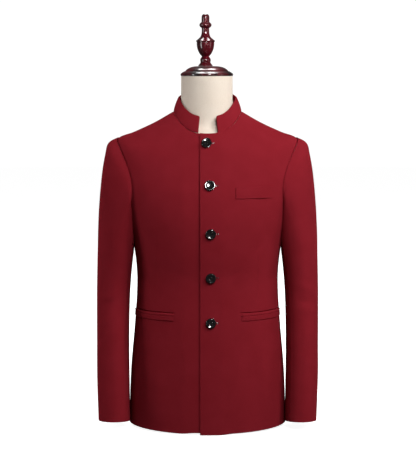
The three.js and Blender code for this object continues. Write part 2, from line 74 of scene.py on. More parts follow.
class Curves:
    """Smooth functions of a table's first column, one for each other named column."""

    def __init__(self, rows: tuple, along: str) -> None:
        """Works out the slopes.

        Args:
            rows: dataclass rows, in order along the first column.
            along: name of the column that the others depend on.
        """
        self.at = np.array([getattr(row, along) for row in rows], float)
        self.values = {}
        self.slopes = {}
        last = len(rows) - 1
        low = np.maximum(np.arange(last + 1) - 1, 0)
        high = np.minimum(np.arange(last + 1) + 1, last)
        for column in fields(rows[0]):
            if column.name == along:
                continue
            value = np.array([getattr(row, column.name) for row in rows], float)
            self.values[column.name] = value
            self.slopes[column.name] = (value[high] - value[low]) / (self.at[high] - self.at[low])

    def __call__(self, column: str, x: np.ndarray) -> np.ndarray:
        """The named column at x.

        Args:
            column: name of the column.
            x: where to read it, a number or an array.

        Returns:
            The values, shaped as x.
        """
        x = np.asarray(x, float)
        rising = self.at[-1] > self.at[0]
        order = self.at if rising else -self.at
        i = np.clip(np.searchsorted(order, x if rising else -x, side="right") - 1, 0, len(order) - 2)
        span = self.at[i + 1] - self.at[i]
        u = np.clip((x - self.at[i]) / span, -0.2, 1.2)
        value, slope = self.values[column], self.slopes[column]
        return path_between(u, value[i], span * slope[i], value[i + 1], span * slope[i + 1])


def path_between(t: object, start: object, leave: object, end: object, arrive: object) -> np.ndarray:
    """A smooth path from start to end, t from 0 to 1, with its slopes at both ends."""
    return (
        start * (2 * t**3 - 3 * t**2 + 1)
        + leave * (t**3 - 2 * t**2 + t)
        + end * (3 * t**2 - 2 * t**3)
        + arrive * (t**3 - t**2)
    )


def peak(distance: np.ndarray, width: float) -> np.ndarray:
    """A soft peak that is 1 where the distance is 0."""
    return np.exp(-((distance / width) ** 2))


def distances(points: np.ndarray, axis: int) -> np.ndarray:
    """Distances of points from the first one, along an axis of their grid."""
    steps = np.linalg.norm(np.diff(points, axis=axis), axis=-1)
    return np.cumsum(np.insert(steps, 0, 0, axis=axis), axis=axis)


def crossing(before: Callable[[np.ndarray], np.ndarray], shape: tuple, top: float) -> np.ndarray:
    """The values from 0 to top at which a test stops holding, found by halving.

    Args:
        before: the test, true for values that are too small.
        shape: shape of the answer.
        top: the largest value.

    Returns:
        The values.
    """
    low, high = np.zeros(shape), np.full(shape, top)
    for _ in range(HALVINGS):
        middle = (low + high) / 2
        small = before(middle)
        low, high = np.where(small, middle, low), np.where(small, high, middle)
    return (low + high) / 2


def signed_power(value: np.ndarray, power: np.ndarray) -> np.ndarray:
    """A power that keeps the sign."""
    return np.sign(value) * np.abs(value) ** power


def smooth_step(value: np.ndarray, low: float, high: float) -> np.ndarray:
    """A soft step from 0 at low to 1 at high."""
    t = np.clip((value - low) / (high - low), 0, 1)
    return t * t * (3 - 2 * t)


def unit(vectors: np.ndarray) -> np.ndarray:
    """Vectors made one long."""
    return vectors / np.maximum(np.linalg.norm(vectors, axis=-1, keepdims=True), 1e-9)


# The surfaces that the pieces are cut on


@dataclass(frozen=True)
class BodyRing:
    """One ring of the jacket's body, in millimetres, at a distance down the side from the neckline."""

    station: float
    half: float
    front: float
    back: float
    side: float
    fore: float
    rear: float
    square: float
    dip: float


@dataclass(frozen=True)
class SleeveRing:
    """One ring of the left sleeve at height z: its middle, half-sizes, turn and tilt in degrees."""

    z: float
    x: float
    y: float
    across: float
    deep: float
    turn: float
    tilt: float


@dataclass(frozen=True)
class Ease:
    """How far the form lies inside the cloth at a station."""

    station: float
    ease: float


BODY_RINGS = (
    BodyRing(0, 76, 80, 72, 715, 669, 726, 2.0, 6.5),
    BodyRing(47, 118, 92, 90, 691, 645, 698, 1.9, 3),
    BodyRing(97, 164, 101, 102, 669.8, 619, 668, 1.82, 0),
    BodyRing(136, 200, 107, 109, 654.5, 596, 642, 1.82, 0),
    BodyRing(175, 205, 114, 113, 620, 567, 617, 1.95, 0),
    BodyRing(235, 199, 121, 115, 561, 529, 561, 2.1, 0),
    BodyRing(315, 180, 124, 111, 481, 470, 481, 2.2, 0),
    BodyRing(385, 164.5, 118, 102, 412, 408, 412, 2.25, 0),
    BodyRing(457, 158.5, 109, 92, 340, 340, 340, 2.25, 0),
    BodyRing(549, 163.5, 109, 99, 248, 248, 248, 2.2, 0),
    BodyRing(664, 173.5, 111, 109, 133, 133, 133, 2.15, 0),
    BodyRing(786, 178, 113, 114, 13, 7.5, 12, 2.1, 0),
)
SLEEVE_RINGS = (
    SleeveRing(458, 202.4, 4, 39, 66, 18, 0),
    SleeveRing(400, 207.6, 7, 37.5, 62, 14, 0),
    SleeveRing(340, 211.6, 9, 36.2, 58, 10, 0),
    SleeveRing(285, 213.4, 6, 35.3, 56, 8, 2),
    SleeveRing(195, 213.8, -6, 34.7, 53.5, 6, 5),
    SleeveRing(105, 212.7, -19, 34.8, 51, 5, 7),
    SleeveRing(17, 210.4, -31, 34.2, 49, 5, 7),
)
FORM_EASE = (
    Ease(0, 1.5),
    Ease(47, 0.8),
    Ease(97, 1.5),
    Ease(136, 1.8),
    Ease(175, 2.4),
    Ease(235, 3.5),
    Ease(315, 7),
    Ease(457, 11),
    Ease(664, 22),
    Ease(786, 30),
)


@dataclass
class Torso:
    """The outer surface of the jacket's body, and the cuts that divide it into panels."""

    seam_angle: float = 96.0
    arm_top: float = 136.0
    arm_bottom: float = 315.0
    front_reach: float = 40.0
    back_reach: float = 32.0
    hem: float = 786.0
    seam_gap: float = -0.06
    curves: Curves = field(default_factory=lambda: Curves(BODY_RINGS, "station"))

    def point(self, angle: np.ndarray, station: np.ndarray) -> np.ndarray:
        """A point of the surface.

        Args:
            angle: radians from centre front, positive to +X.
            station: distance down the side from the neckline.

        Returns:
            The points, with x, y and z on the last axis.
        """
        angle, station = np.broadcast_arrays(np.asarray(angle, float), np.asarray(station, float))
        s, c = np.sin(angle), np.cos(angle)
        power = 2 / self.curves("square", station)
        fore = c > 0
        depth = np.where(fore, self.curves("front", station), self.curves("back", station))
        centre = np.where(fore, self.curves("fore", station), self.curves("rear", station))
        dip = np.where(fore, self.curves("dip", station) * np.sin(2 * angle) ** 2, 0)
        return np.stack(
            [
                self.curves("half", station) * signed_power(s, power),
                -depth * signed_power(c, power),
                self.curves("side", station) * s * s + centre * c * c - dip,
            ],
            axis=-1,
        )

    def normal(self, angle: np.ndarray, station: np.ndarray) -> np.ndarray:
        """The outward normal at a point."""
        across = self.point(angle + NORMAL_STEP, station) - self.point(angle - NORMAL_STEP, station)
        down = self.point(angle, station + 1) - self.point(angle, station - 1)
        return unit(np.cross(down, across))

    def off(self, angle: np.ndarray, station: np.ndarray, lift: np.ndarray) -> np.ndarray:
        """A point moved out of the surface by lift."""
        return self.point(angle, station) + self.normal(angle, station) * np.asarray(lift)[..., None]

    def angle_at(self, x: np.ndarray, station: np.ndarray) -> np.ndarray:
        """The angle at which a ring crosses x."""
        share = np.minimum(np.abs(x) / self.curves("half", station), 1)
        return np.sign(x) * np.arcsin(share ** (self.curves("square", station) / 2))

    def station_at(self, x: np.ndarray, z: np.ndarray) -> np.ndarray:
        """The station at which the front has height z on the line at x.

        Args:
            x: distance from centre.
            z: height.

        Returns:
            The stations.
        """
        x, z = np.broadcast_arrays(np.asarray(x, float), np.asarray(z, float))
        return crossing(lambda s: self.point(self.angle_at(x, s), s)[..., 2] > z, x.shape, self.hem)

    def turn_for(self, distance: float, angle: np.ndarray, station: np.ndarray) -> np.ndarray:
        """The turn that moves a point of a ring by a distance along the ring."""
        chord = self.point(angle + CHORD_STEP, station) - self.point(angle - CHORD_STEP, station)
        return distance * 2 * CHORD_STEP / np.linalg.norm(chord, axis=-1)

    def edge_angle(self, station: np.ndarray, reach: float) -> np.ndarray:
        """The angle of a panel's outer edge: shoulder seam, then armhole, then side seam.

        Args:
            station: distance down the side.
            reach: degrees that the armhole cuts into the panel, negative for the back.

        Returns:
            The angles, in radians.
        """
        middle = (self.arm_top + self.arm_bottom) / 2
        share = (station - middle) / ((self.arm_bottom - self.arm_top) / 2)
        opening = reach * np.sqrt(np.maximum(0, 1 - share * share))
        angle = np.radians(self.seam_angle - opening)
        return angle - np.sign(reach) * self.turn_for(self.seam_gap / 2, angle, station)

    def keep_off(self, point: np.ndarray, clear: np.ndarray, softness: np.ndarray) -> np.ndarray:
        """Moves points sideways until they are clear of the surface, with a soft onset.

        Args:
            point: the points.
            clear: least distance outside the surface.
            softness: width of the onset.

        Returns:
            The moved points.
        """
        x, y, z = point[..., 0], point[..., 1], point[..., 2]

        def nearest(station: np.ndarray) -> np.ndarray:
            """The point of a ring that is in the same direction."""
            power = self.curves("square", station) / 2
            depth = np.where(y < 0, self.curves("front", station), self.curves("back", station))
            sideways = (np.abs(x) / self.curves("half", station)) ** power
            return self.point(np.arctan2(sideways, signed_power(-y / depth, power)), station)

        surface = nearest(crossing(lambda station: nearest(station)[..., 2] > z, x.shape, self.hem))
        here = np.hypot(x, y)
        least = np.hypot(surface[..., 0], surface[..., 1]) + clear
        wanted = least + softness * np.logaddexp(0, (here - least) / softness)
        moved = point.copy()
        moved[..., :2] *= (wanted / here)[..., None]
        return moved


@dataclass
class SleeveShape:
    """The outer surface of the left sleeve, from the armhole's edge to the cuff."""

    torso: Torso
    square: float = 2.2
    biceps: float = 458.0
    cuff: float = 20.5
    sewn: float = -0.5
    tuck: float = 1.0
    hanging: float = 0.6
    soft_sewn: float = 0.15
    soft_hanging: float = 0.9
    shoulder_row: float = 0.14
    shoulder_reach: float = 0.1
    shoulder_out: float = 4.6
    shoulder_up: float = 0.4
    leave_fore: float = 0.22
    leave_top: tuple[float, float] = (0.95, -0.3)
    leave_foot: tuple[float, float] = (0.05, -1.0)
    leave_pull: float = 0.72
    arrive_pull: float = 0.95
    arrive_step: float = 12.0
    away_rows: float = 5.0
    curves: Curves = field(default_factory=lambda: Curves(SLEEVE_RINGS, "z"))

    def ring_point(self, angle: np.ndarray, z: np.ndarray) -> np.ndarray:
        """A point of the ring at height z, by the angle from its outer side towards the front."""
        power = 2 / self.square
        out = self.curves("across", z) * signed_power(np.cos(angle), power)
        fore = self.curves("deep", z) * signed_power(np.sin(angle), power)
        turn = np.radians(self.curves("turn", z))
        middle_y = self.curves("y", z)
        x = self.curves("x", z) + out * np.cos(turn) - fore * np.sin(turn)
        y = middle_y - out * np.sin(turn) - fore * np.cos(turn)
        rise = (middle_y - y) * np.tan(np.radians(self.curves("tilt", z)))
        return np.stack([x, y, z + rise], axis=-1)

    def armhole_point(self, angle: np.ndarray) -> np.ndarray:
        """The point at the same angle round the sleeve, tucked just under the armhole's edge."""
        torso = self.torso
        half = (torso.arm_bottom - torso.arm_top) / 2 + self.tuck
        reach = np.radians(np.where(np.sin(angle) > 0, torso.front_reach, torso.back_reach))
        station = (torso.arm_top + torso.arm_bottom) / 2 - half * np.cos(angle)
        open_angle = reach + self.tuck / torso.curves("half", station)
        return torso.point(math.radians(torso.seam_angle) - open_angle * np.sin(angle), station)

    def leave(self, angle: np.ndarray) -> np.ndarray:
        """How the sleeve leaves the armhole: out over the shoulder, straight down at its foot."""
        foot = (1 - np.cos(angle)) / 2
        out, up = (top + (low - top) * foot for top, low in zip(self.leave_top, self.leave_foot))
        return unit(np.stack([out, -self.leave_fore * np.sin(angle), up], axis=-1))

    def head_point(self, angle: np.ndarray, row: np.ndarray) -> np.ndarray:
        """A point of the sleeve's head, between armhole and biceps.

        Args:
            angle: radians round the sleeve.
            row: 0 at the armhole and 1 at the biceps.

        Returns:
            The points.
        """
        start = self.armhole_point(angle)
        biceps = np.full_like(angle, self.biceps)
        end = self.ring_point(angle, biceps)
        length = np.linalg.norm(end - start, axis=-1)[..., None]
        leave = self.leave(angle) * self.leave_pull * length
        below = self.ring_point(angle, biceps - self.arrive_step)
        arrive = (below - end) * self.arrive_pull * length / self.arrive_step
        point = path_between(row[..., None], start, leave, end, arrive)
        head = np.maximum(0, np.cos(angle)) ** 2 * peak(row - self.shoulder_row, self.shoulder_reach)
        point[..., 0] += self.shoulder_out * head
        point[..., 2] += self.shoulder_up * head
        away = np.minimum(1, row * self.away_rows)
        clear = self.sewn + (self.hanging - self.sewn) * away
        softness = self.soft_sewn + (self.soft_hanging - self.soft_sewn) * away
        return self.torso.keep_off(point, clear, softness)

    def point(self, angle: np.ndarray, row: np.ndarray) -> np.ndarray:
        """A point of the sleeve.

        Args:
            angle: radians from its outer side towards the front.
            row: 0 to 1 is its head, and 1 to 2 runs from biceps to cuff.

        Returns:
            The points.
        """
        angle, row = np.broadcast_arrays(np.asarray(angle, float), np.asarray(row, float))
        z = self.biceps + (self.cuff - self.biceps) * (np.maximum(row, 1) - 1)
        hanging = self.torso.keep_off(self.ring_point(angle, z), self.hanging, self.soft_hanging)
        head = self.head_point(angle, np.minimum(row, 1))
        return np.where((row > 1)[..., None], hanging, head)


# Walls of cloth


class Edge(Enum):
    """How the edge of a piece is finished."""

    FREE = "turned and pressed"
    SEWN = "sewn to its neighbour"


@dataclass(frozen=True)
class Crease:
    """A soft trough, or a ridge where depth is negative, between two places on a piece.

    across and height are places on the piece, bend is how far its middle bows, all in millimetres.
    """

    across: float
    height: float
    to_across: float
    to_height: float
    depth: float
    width: float
    bend: float = 0.0
    blunt: float = 0.6
    ends: float = 0.35

    def relief(self, across: np.ndarray, height: np.ndarray) -> np.ndarray:
        """How far the crease moves each point out.

        Args:
            across: the points' places across the piece.
            height: the points' heights.

        Returns:
            The reliefs, negative in a trough.
        """
        run = np.array([self.to_across - self.across, self.to_height - self.height])
        length = float(np.hypot(*run))
        along = ((across - self.across) * run[0] + (height - self.height) * run[1]) / length**2
        side = ((height - self.height) * run[0] - (across - self.across) * run[1]) / length
        held = np.clip(along, 0, 1)
        side = side - self.bend * 4 * held * (1 - held)
        past = (along - held) * length
        swell = np.clip(np.sin(np.pi * held), 0, 1)
        taper = swell**self.blunt * (self.ends + (1 - self.ends) * swell)
        return -self.depth * taper * peak(side, self.width) * peak(past, self.width)


@dataclass
class ClothWall:
    """A thin closed wall laid out on a grid of outer points, with rounded edges."""

    points: np.ndarray
    normals: np.ndarray
    thick: float = 1.8
    top: Edge = Edge.FREE
    bottom: Edge = Edge.FREE
    start: Edge = Edge.FREE
    end: Edge = Edge.FREE
    relief: np.ndarray | None = None
    sewn_rim: float = 0.3
    valley: float = 0.4
    valley_width: float = 2.0

    def grids(self) -> tuple[np.ndarray, np.ndarray, np.ndarray]:
        """The outer and inner points and the places on the cut cloth.

        Returns:
            Outer points, inner points, and places across and down in millimetres.
        """
        u, v = distances(self.points, 1), distances(self.points, 0)
        lift = np.zeros_like(u) if self.relief is None else self.relief.copy()
        inset = np.zeros_like(u)
        for edge, distance in (
            (self.start, u),
            (self.end, u[:, -1:] - u),
            (self.top, v),
            (self.bottom, v[-1:] - v),
        ):
            rim = self.sewn_rim if edge is Edge.SEWN else self.thick / 2
            near = np.clip(rim - distance, 0, rim)
            inset = np.maximum(inset, rim - np.sqrt(rim * rim - near * near))
            if edge is Edge.SEWN:
                lift -= self.valley * peak(distance, self.valley_width)
        outer = self.points + self.normals * (lift - inset)[..., None]
        inner = self.points + self.normals * (lift - self.thick + inset)[..., None]
        middle_row = (u.max(axis=1) / 2)[:, None]
        return outer, inner, np.stack([u - middle_row, v], axis=-1)


def grid_normals(points: np.ndarray) -> np.ndarray:
    """Outward normals of a grid whose rows run down and whose columns run to +angle."""
    down = np.gradient(points, axis=0)
    across = np.gradient(points, axis=1)
    return unit(np.cross(down, across))


def graded(length: float, count: int, rim: float = 0.9) -> np.ndarray:
    """Shares from 0 to 1 that are close at both ends, for the rounding of an edge.

    Args:
        length: length that the shares divide, in millimetres.
        count: number of even steps between the ends.
        rim: radius of the rounding.

    Returns:
        The shares.
    """
    ends = np.array(RIM_STEPS) * rim / length
    middle = np.linspace(ends[-1], 1 - ends[-1], count + 1)
    return np.concatenate([ends[:-1], middle, 1 - ends[:-1][::-1]])


def by_length(curve: np.ndarray, values: np.ndarray, shares: np.ndarray) -> np.ndarray:
    """Values spaced by length along each row of a grid of points.

    Args:
        curve: points, rows by samples by 3.
        values: the parameter at each sample, rows by samples.
        shares: shares of each row's length, from 0 to 1.

    Returns:
        The parameter at each share, rows by shares.
    """
    total = distances(curve, 1)
    total /= total[:, -1:]
    return np.stack([np.interp(shares, *row) for row in zip(total, values)])


def linked(name: str, data: object) -> bpy.types.Object:
    """A new object in the scene, for a mesh, a light or a camera."""
    made = bpy.data.objects.new(name, data)
    bpy.context.scene.collection.objects.link(made)
    return made


def corner_points(mesh: bpy.types.Mesh) -> np.ndarray:
    """The index of the point at each corner of each face."""
    corners = np.zeros(len(mesh.loops), np.int32)
    mesh.loops.foreach_get("vertex_index", corners)
    return corners


@dataclass
class Workshop:
    """Turns points in millimetres into Blender meshes in the frame."""

    shift: np.ndarray

    def metres(self, points: np.ndarray) -> np.ndarray:
        """Points in metres, in the frame."""
        return (points + self.shift) * MM

    def mesh_object(
        self, name: str, points: np.ndarray, faces: np.ndarray, uvs: np.ndarray | None
    ) -> bpy.types.Object:
        """A smooth-shaded object from points and faces.

        Args:
            name: the object's name.
            points: vertices in millimetres.
            faces: rows of four vertex indices.
            uvs: place on the cut cloth of each vertex in millimetres, or None.

        Returns:
            The object.
        """
        placed = self.metres(points)
        mesh = bpy.data.meshes.new(name)
        mesh.from_pydata(placed.tolist(), [], faces.tolist())
        a, b, c, d = (placed[corner] for corner in faces.T)
        if np.sum(a * (np.cross(b, c) + np.cross(c, d))) < 0:
            mesh.flip_normals()
        if uvs is not None:
            layer = mesh.uv_layers.new(name="UVMap")
            layer.data.foreach_set("uv", (uvs[corner_points(mesh)] * MM).astype(np.float32).ravel())
        mesh.shade_smooth()
        return linked(name, mesh)

    def wall(self, name: str, wall: ClothWall, side: int = 1) -> bpy.types.Object:
        """A closed shell of cloth.

        Args:
            name: the object's name.
            wall: the laid out cloth.
            side: 1, or -1 to mirror it to the wearer's right.

        Returns:
            The object.
        """
        outer, inner, places = wall.grids()
        rows, columns = outer.shape[:2]
        index = np.arange(rows * columns).reshape(rows, columns)
        back = index.copy()
        core = index[1:-1, 1:-1]
        back[1:-1, 1:-1] = rows * columns + np.arange(core.size).reshape(core.shape)
        points = np.concatenate([outer.reshape(-1, 3), inner[1:-1, 1:-1].reshape(-1, 3)])
        uvs = np.concatenate([places.reshape(-1, 2), places[1:-1, 1:-1].reshape(-1, 2)])
        points = points * np.array([side, 1, 1])

        def quads(grid: np.ndarray) -> np.ndarray:
            """The quads of a grid of indices."""
            a, b, c, d = grid[:-1, :-1], grid[1:, :-1], grid[1:, 1:], grid[:-1, 1:]
            return np.stack([a, b, c, d], axis=-1).reshape(-1, 4)

        faces = np.concatenate([quads(index), quads(back)[:, ::-1]])
        return self.mesh_object(name, points, faces, uvs)


# Finishes


class NodeTree:
    """A short way to write a material's nodes."""

    def __init__(self, name: str) -> None:
        """Starts a material with a Principled shader."""
        self.material = bpy.data.materials.new(name)
        self.material.use_nodes = True
        self.nodes = self.material.node_tree.nodes
        self.links = self.material.node_tree.links
        self.shader = self.nodes["Principled BSDF"]

    def add(self, kind: str, settings: dict | None = None, **inputs: object) -> bpy.types.Node:
        """A node with its settings and inputs.

        Args:
            kind: the node's type.
            settings: attributes of the node.
            inputs: values or sockets for inputs, with _ for a space in the input's name.

        Returns:
            The node.
        """
        node = self.nodes.new(kind)
        for key, value in (settings or {}).items():
            setattr(node, key, value)
        for key, value in inputs.items():
            self.feed(node.inputs[key.replace("_", " ")], value)
        return node

    def feed(self, socket: bpy.types.NodeSocket, value: object) -> None:
        """Links an input to another socket, or sets it."""
        if isinstance(value, bpy.types.NodeSocket):
            self.links.new(value, socket)
        else:
            socket.default_value = value

    def set(self, **values: object) -> None:
        """Values for the shader's own sockets, or links to them."""
        for key, value in values.items():
            self.feed(self.shader.inputs[key.replace("_", " ")], value)

    def coords(self, output: str) -> bpy.types.NodeSocket:
        """Texture coordinates: UV for the place on the cut cloth, Object for the place in space."""
        if output == "UV":
            return self.add("ShaderNodeUVMap", {"uv_map": "UVMap"}).outputs["UV"]
        return self.add("ShaderNodeTexCoord").outputs[output]

    def mapped(self, vector: bpy.types.NodeSocket, **inputs: object) -> bpy.types.NodeSocket:
        """Coordinates scaled or turned."""
        return self.add("ShaderNodeMapping", Vector=vector, **inputs).outputs["Vector"]

    def wave(
        self, vector: bpy.types.NodeSocket, direction: str, scale: float, distortion: float,
        detail: float = 2.0, detail_scale: float = 1.0,
    ) -> bpy.types.NodeSocket:
        """Bands between 0 and 1, for yarn and ribs."""
        settings = {"wave_type": "BANDS", "bands_direction": direction}
        return self.add(
            "ShaderNodeTexWave", settings, Vector=vector, Scale=scale, Distortion=distortion,
            Detail=detail, Detail_Scale=detail_scale,
        ).outputs["Fac"]

    def noise(self, vector: bpy.types.NodeSocket, scale: float, detail: float = 2.0) -> bpy.types.NodeSocket:
        """A noise between 0 and 1."""
        return self.add("ShaderNodeTexNoise", Vector=vector, Scale=scale, Detail=detail).outputs["Fac"]

    def ramp(
        self, factor: bpy.types.NodeSocket, low: tuple, high: tuple, start: float, stop: float
    ) -> bpy.types.NodeSocket:
        """A colour between two others, by a factor between start and stop."""
        node = self.add("ShaderNodeValToRGB", Fac=factor)
        first, second = node.color_ramp.elements
        first.position, second.position = start, stop
        first.color, second.color = (*low, 1), (*high, 1)
        return node.outputs["Color"]

    def blend(self, mode: str, factor: float, one: object, two: object) -> bpy.types.NodeSocket:
        """Two colours mixed in a blend mode."""
        node = self.add("ShaderNodeMix", {"data_type": "RGBA", "blend_type": mode})
        for index, value in ((0, factor), (6, one), (7, two)):
            self.feed(node.inputs[index], value)
        return node.outputs[2]

    def product(self, one: bpy.types.NodeSocket, two: bpy.types.NodeSocket) -> bpy.types.NodeSocket:
        """One number times another."""
        node = self.add("ShaderNodeMath", {"operation": "MULTIPLY"})
        self.feed(node.inputs[0], one)
        self.feed(node.inputs[1], two)
        return node.outputs[0]

    def bump(
        self, height: bpy.types.NodeSocket, strength: float, distance: float,
        under: bpy.types.NodeSocket | None = None,
    ) -> bpy.types.NodeSocket:
        """A bumped normal, on top of another where one is given."""
        node = self.add("ShaderNodeBump", Height=height, Strength=strength, Distance=distance)
        if under is not None:
            self.links.new(under, node.inputs["Normal"])
        return node.outputs["Normal"]


@dataclass(frozen=True)
class WoolFinish:
    """Fine worsted twill, dark red, with a short soft nap."""

    low: tuple[float, float, float] = (0.246, 0.0142, 0.0222)
    high: tuple[float, float, float] = (0.264, 0.0162, 0.0255)
    fleck: tuple[float, float, float] = (0.72, 0.66, 0.68)
    twill_period: float = 0.00052
    twill_turn: float = 33.0
    roughness: float = 0.68
    sheen: float = 0.02
    sheen_tint: tuple[float, float, float] = (1.0, 0.22, 0.28)

    def material(self) -> bpy.types.Material:
        """The material."""
        tree = NodeTree("wool")
        uv = tree.coords("UV")
        turned = tree.mapped(uv, Rotation=(0, 0, math.radians(self.twill_turn)))
        ribs = tree.wave(turned, "X", BAND / self.twill_period, 0.9, 1.5, 2.0)
        fibre = tree.noise(uv, 2600, 3)
        mottle = tree.noise(tree.coords("Object"), 26, 4)
        base = tree.ramp(mottle, self.low, self.high, 0.3, 0.7)
        flecked = tree.ramp(fibre, self.fleck, (1, 1, 1), 0.3, 0.52)
        shaded = tree.blend("MULTIPLY", 0.45, base, flecked)
        # Painted shade: the twill ribs darken the colour to 0.72 in their grooves, where the rib bump below is
        # lowest.
        rib_groove_shade = tree.ramp(ribs, (0.72, 0.72, 0.72), (1, 1, 1), 0.1, 0.6)
        tree.set(
            Base_Color=tree.blend("MULTIPLY", 0.5, shaded, rib_groove_shade),
            Roughness=self.roughness,
            Sheen_Weight=self.sheen,
            Sheen_Roughness=0.42,
            Sheen_Tint=(*self.sheen_tint, 1),
            Specular_IOR_Level=0.0,
        )
        slub = tree.noise(uv, 420, 2)
        under = tree.bump(slub, 0.12, 0.0006)
        weave = tree.bump(ribs, 0.28, 0.0002, under)
        tree.set(Normal=tree.bump(fibre, 0.2, 0.00015, weave))
        return tree.material


@dataclass(frozen=True)
class LinenFinish:
    """Tightly stretched natural linen in plain weave."""

    low: tuple[float, float, float] = (0.905, 0.785, 0.665)
    high: tuple[float, float, float] = (0.955, 0.845, 0.730)
    yarn: float = 0.0007

    def material(self) -> bpy.types.Material:
        """The material."""
        tree = NodeTree("linen")
        uv = tree.coords("UV")
        cross = tree.product(*(tree.wave(uv, way, BAND / self.yarn, 1.6, 2.0, 0.6) for way in "XY"))
        slub = tree.noise(tree.mapped(uv, Scale=(1, 14, 1)), 120, 3)
        mottle = tree.noise(tree.coords("Object"), 18, 3)
        base = tree.ramp(mottle, self.low, self.high, 0.25, 0.75)
        uneven = tree.ramp(slub, (0.78, 0.75, 0.7), (1, 1, 1), 0.3, 0.6)
        # Painted shade: the weave darkens the colour between the yarns, where the cross bump is low.
        weave_gap_shade = tree.ramp(cross, (0.7, 0.68, 0.64), (1, 1, 1), 0.0, 0.5)
        woven = tree.blend("MULTIPLY", 0.4, tree.blend("MULTIPLY", 0.35, base, uneven), weave_gap_shade)
        tree.set(
            Base_Color=woven,
            Roughness=0.86,
            Sheen_Weight=0.12,
            Sheen_Roughness=0.6,
            Specular_IOR_Level=0.25,
        )
        tree.set(Normal=tree.bump(cross, 0.35, 0.0003, tree.bump(slub, 0.2, 0.0004)))
        return tree.material


@dataclass(frozen=True)
class MahoganyFinish:
    """Turned hardwood, stained red-brown and lacquered to a high polish."""

    dark: tuple[float, float, float] = (0.006, 0.0005, 0.0014)
    light: tuple[float, float, float] = (0.135, 0.0024, 0.0105)

    def material(self) -> bpy.types.Material:
        """The material."""
        tree = NodeTree("mahogany")
        along = tree.mapped(tree.coords("Object"), Scale=(1, 1, 0.12))
        grain = tree.noise(along, 420, 4)
        figure = tree.noise(along, 34, 2)
        fine = tree.ramp(grain, (0.45, 0.4, 0.4), (1, 1, 1), 0.35, 0.62)
        base = tree.ramp(figure, self.dark, self.light, 0.38, 0.68)
        tree.set(
            Base_Color=tree.blend("MULTIPLY", 0.6, base, fine),
            Roughness=0.4,
            Specular_IOR_Level=0.2,
            Coat_Weight=0.7,
            Coat_Roughness=0.06,
            Coat_IOR=1.55,
        )
        tree.set(Normal=tree.bump(grain, 0.02, 0.0001))
        return tree.material


@dataclass(frozen=True)
class HornFinish:
    """Polished near-black horn with faint brown streaks."""

    dark: tuple[float, float, float] = (0.0035, 0.0035, 0.0040)
    streak: tuple[float, float, float] = (0.020, 0.017, 0.016)

    def material(self) -> bpy.types.Material:
        """The material."""
        tree = NodeTree("horn")
        drawn = tree.mapped(tree.coords("Object"), Scale=(1, 1, 3.2), Rotation=(0, 0.5, 0))
        streaks = tree.noise(drawn, 130, 4)
        tree.set(
            Base_Color=tree.ramp(streaks, self.dark, self.streak, 0.45, 0.75),
            Roughness=0.16,
            Coat_Weight=0.6,
            Coat_Roughness=0.05,
        )
        tree.set(Normal=tree.bump(streaks, 0.03, 0.0003))
        return tree.material


@dataclass(frozen=True)
class ThreadFinish:
    """Twisted silk thread."""

    name: str
    colour: tuple[float, float, float]

    def material(self) -> bpy.types.Material:
        """The material."""
        tree = NodeTree(self.name)
        twist = tree.wave(tree.coords("Object"), "DIAGONAL", 520.0, 1.0)
        # Painted shade: the twist darkens the colour to 0.55 in the grooves between the plies, where the twist
        # bump is low.
        twist_groove_shade = tree.ramp(twist, tuple(0.55 * c for c in self.colour), self.colour, 0.1, 0.7)
        tree.set(Base_Color=twist_groove_shade, Roughness=0.45, Sheen_Weight=0.3, Specular_IOR_Level=0.4)
        tree.set(Normal=tree.bump(twist, 0.4, 0.0002))
        return tree.material


@dataclass
class Finishes:
    """All the materials, made once."""

    wool: bpy.types.Material = field(default_factory=lambda: WoolFinish().material())
    linen: bpy.types.Material = field(default_factory=lambda: LinenFinish().material())
    mahogany: bpy.types.Material = field(default_factory=lambda: MahoganyFinish().material())
    horn: bpy.types.Material = field(default_factory=lambda: HornFinish().material())
    silk: bpy.types.Material = field(
        default_factory=lambda: ThreadFinish("silk", (0.10, 0.008, 0.014)).material()
    )
    black_silk: bpy.types.Material = field(
        default_factory=lambda: ThreadFinish("black_silk", (0.012, 0.012, 0.013)).material()
    )


def dress(piece: bpy.types.Object, material: bpy.types.Material, slot: str, *nodes: str) -> bpy.types.Object:
    """Gives a piece its finish and its body, and hides the CAD nodes that it stands for.

    Args:
        piece: the new piece.
        material: its material.
        slot: the record's slot.
        nodes: CAD nodes that it replaces.

    Returns:
        The piece.
    """
    piece.data.materials.clear()
    piece.data.materials.append(material)
    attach(piece, "root")
    if nodes:
        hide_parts(*nodes)
    LOG.info("%s: %d faces", piece.name, len(piece.data.polygons))
    return piece


def cut_cloth(
    piece: bpy.types.Object, wool: bpy.types.Material, node: str
) -> None:
    """Dresses a piece in the wool."""
    dress(piece, wool, "wool", node)


# The jacket


@dataclass(frozen=True)
class Cut:
    """The flat cut of a piece, in metres, and its area in square metres."""

    width: float
    length: float
    area: float


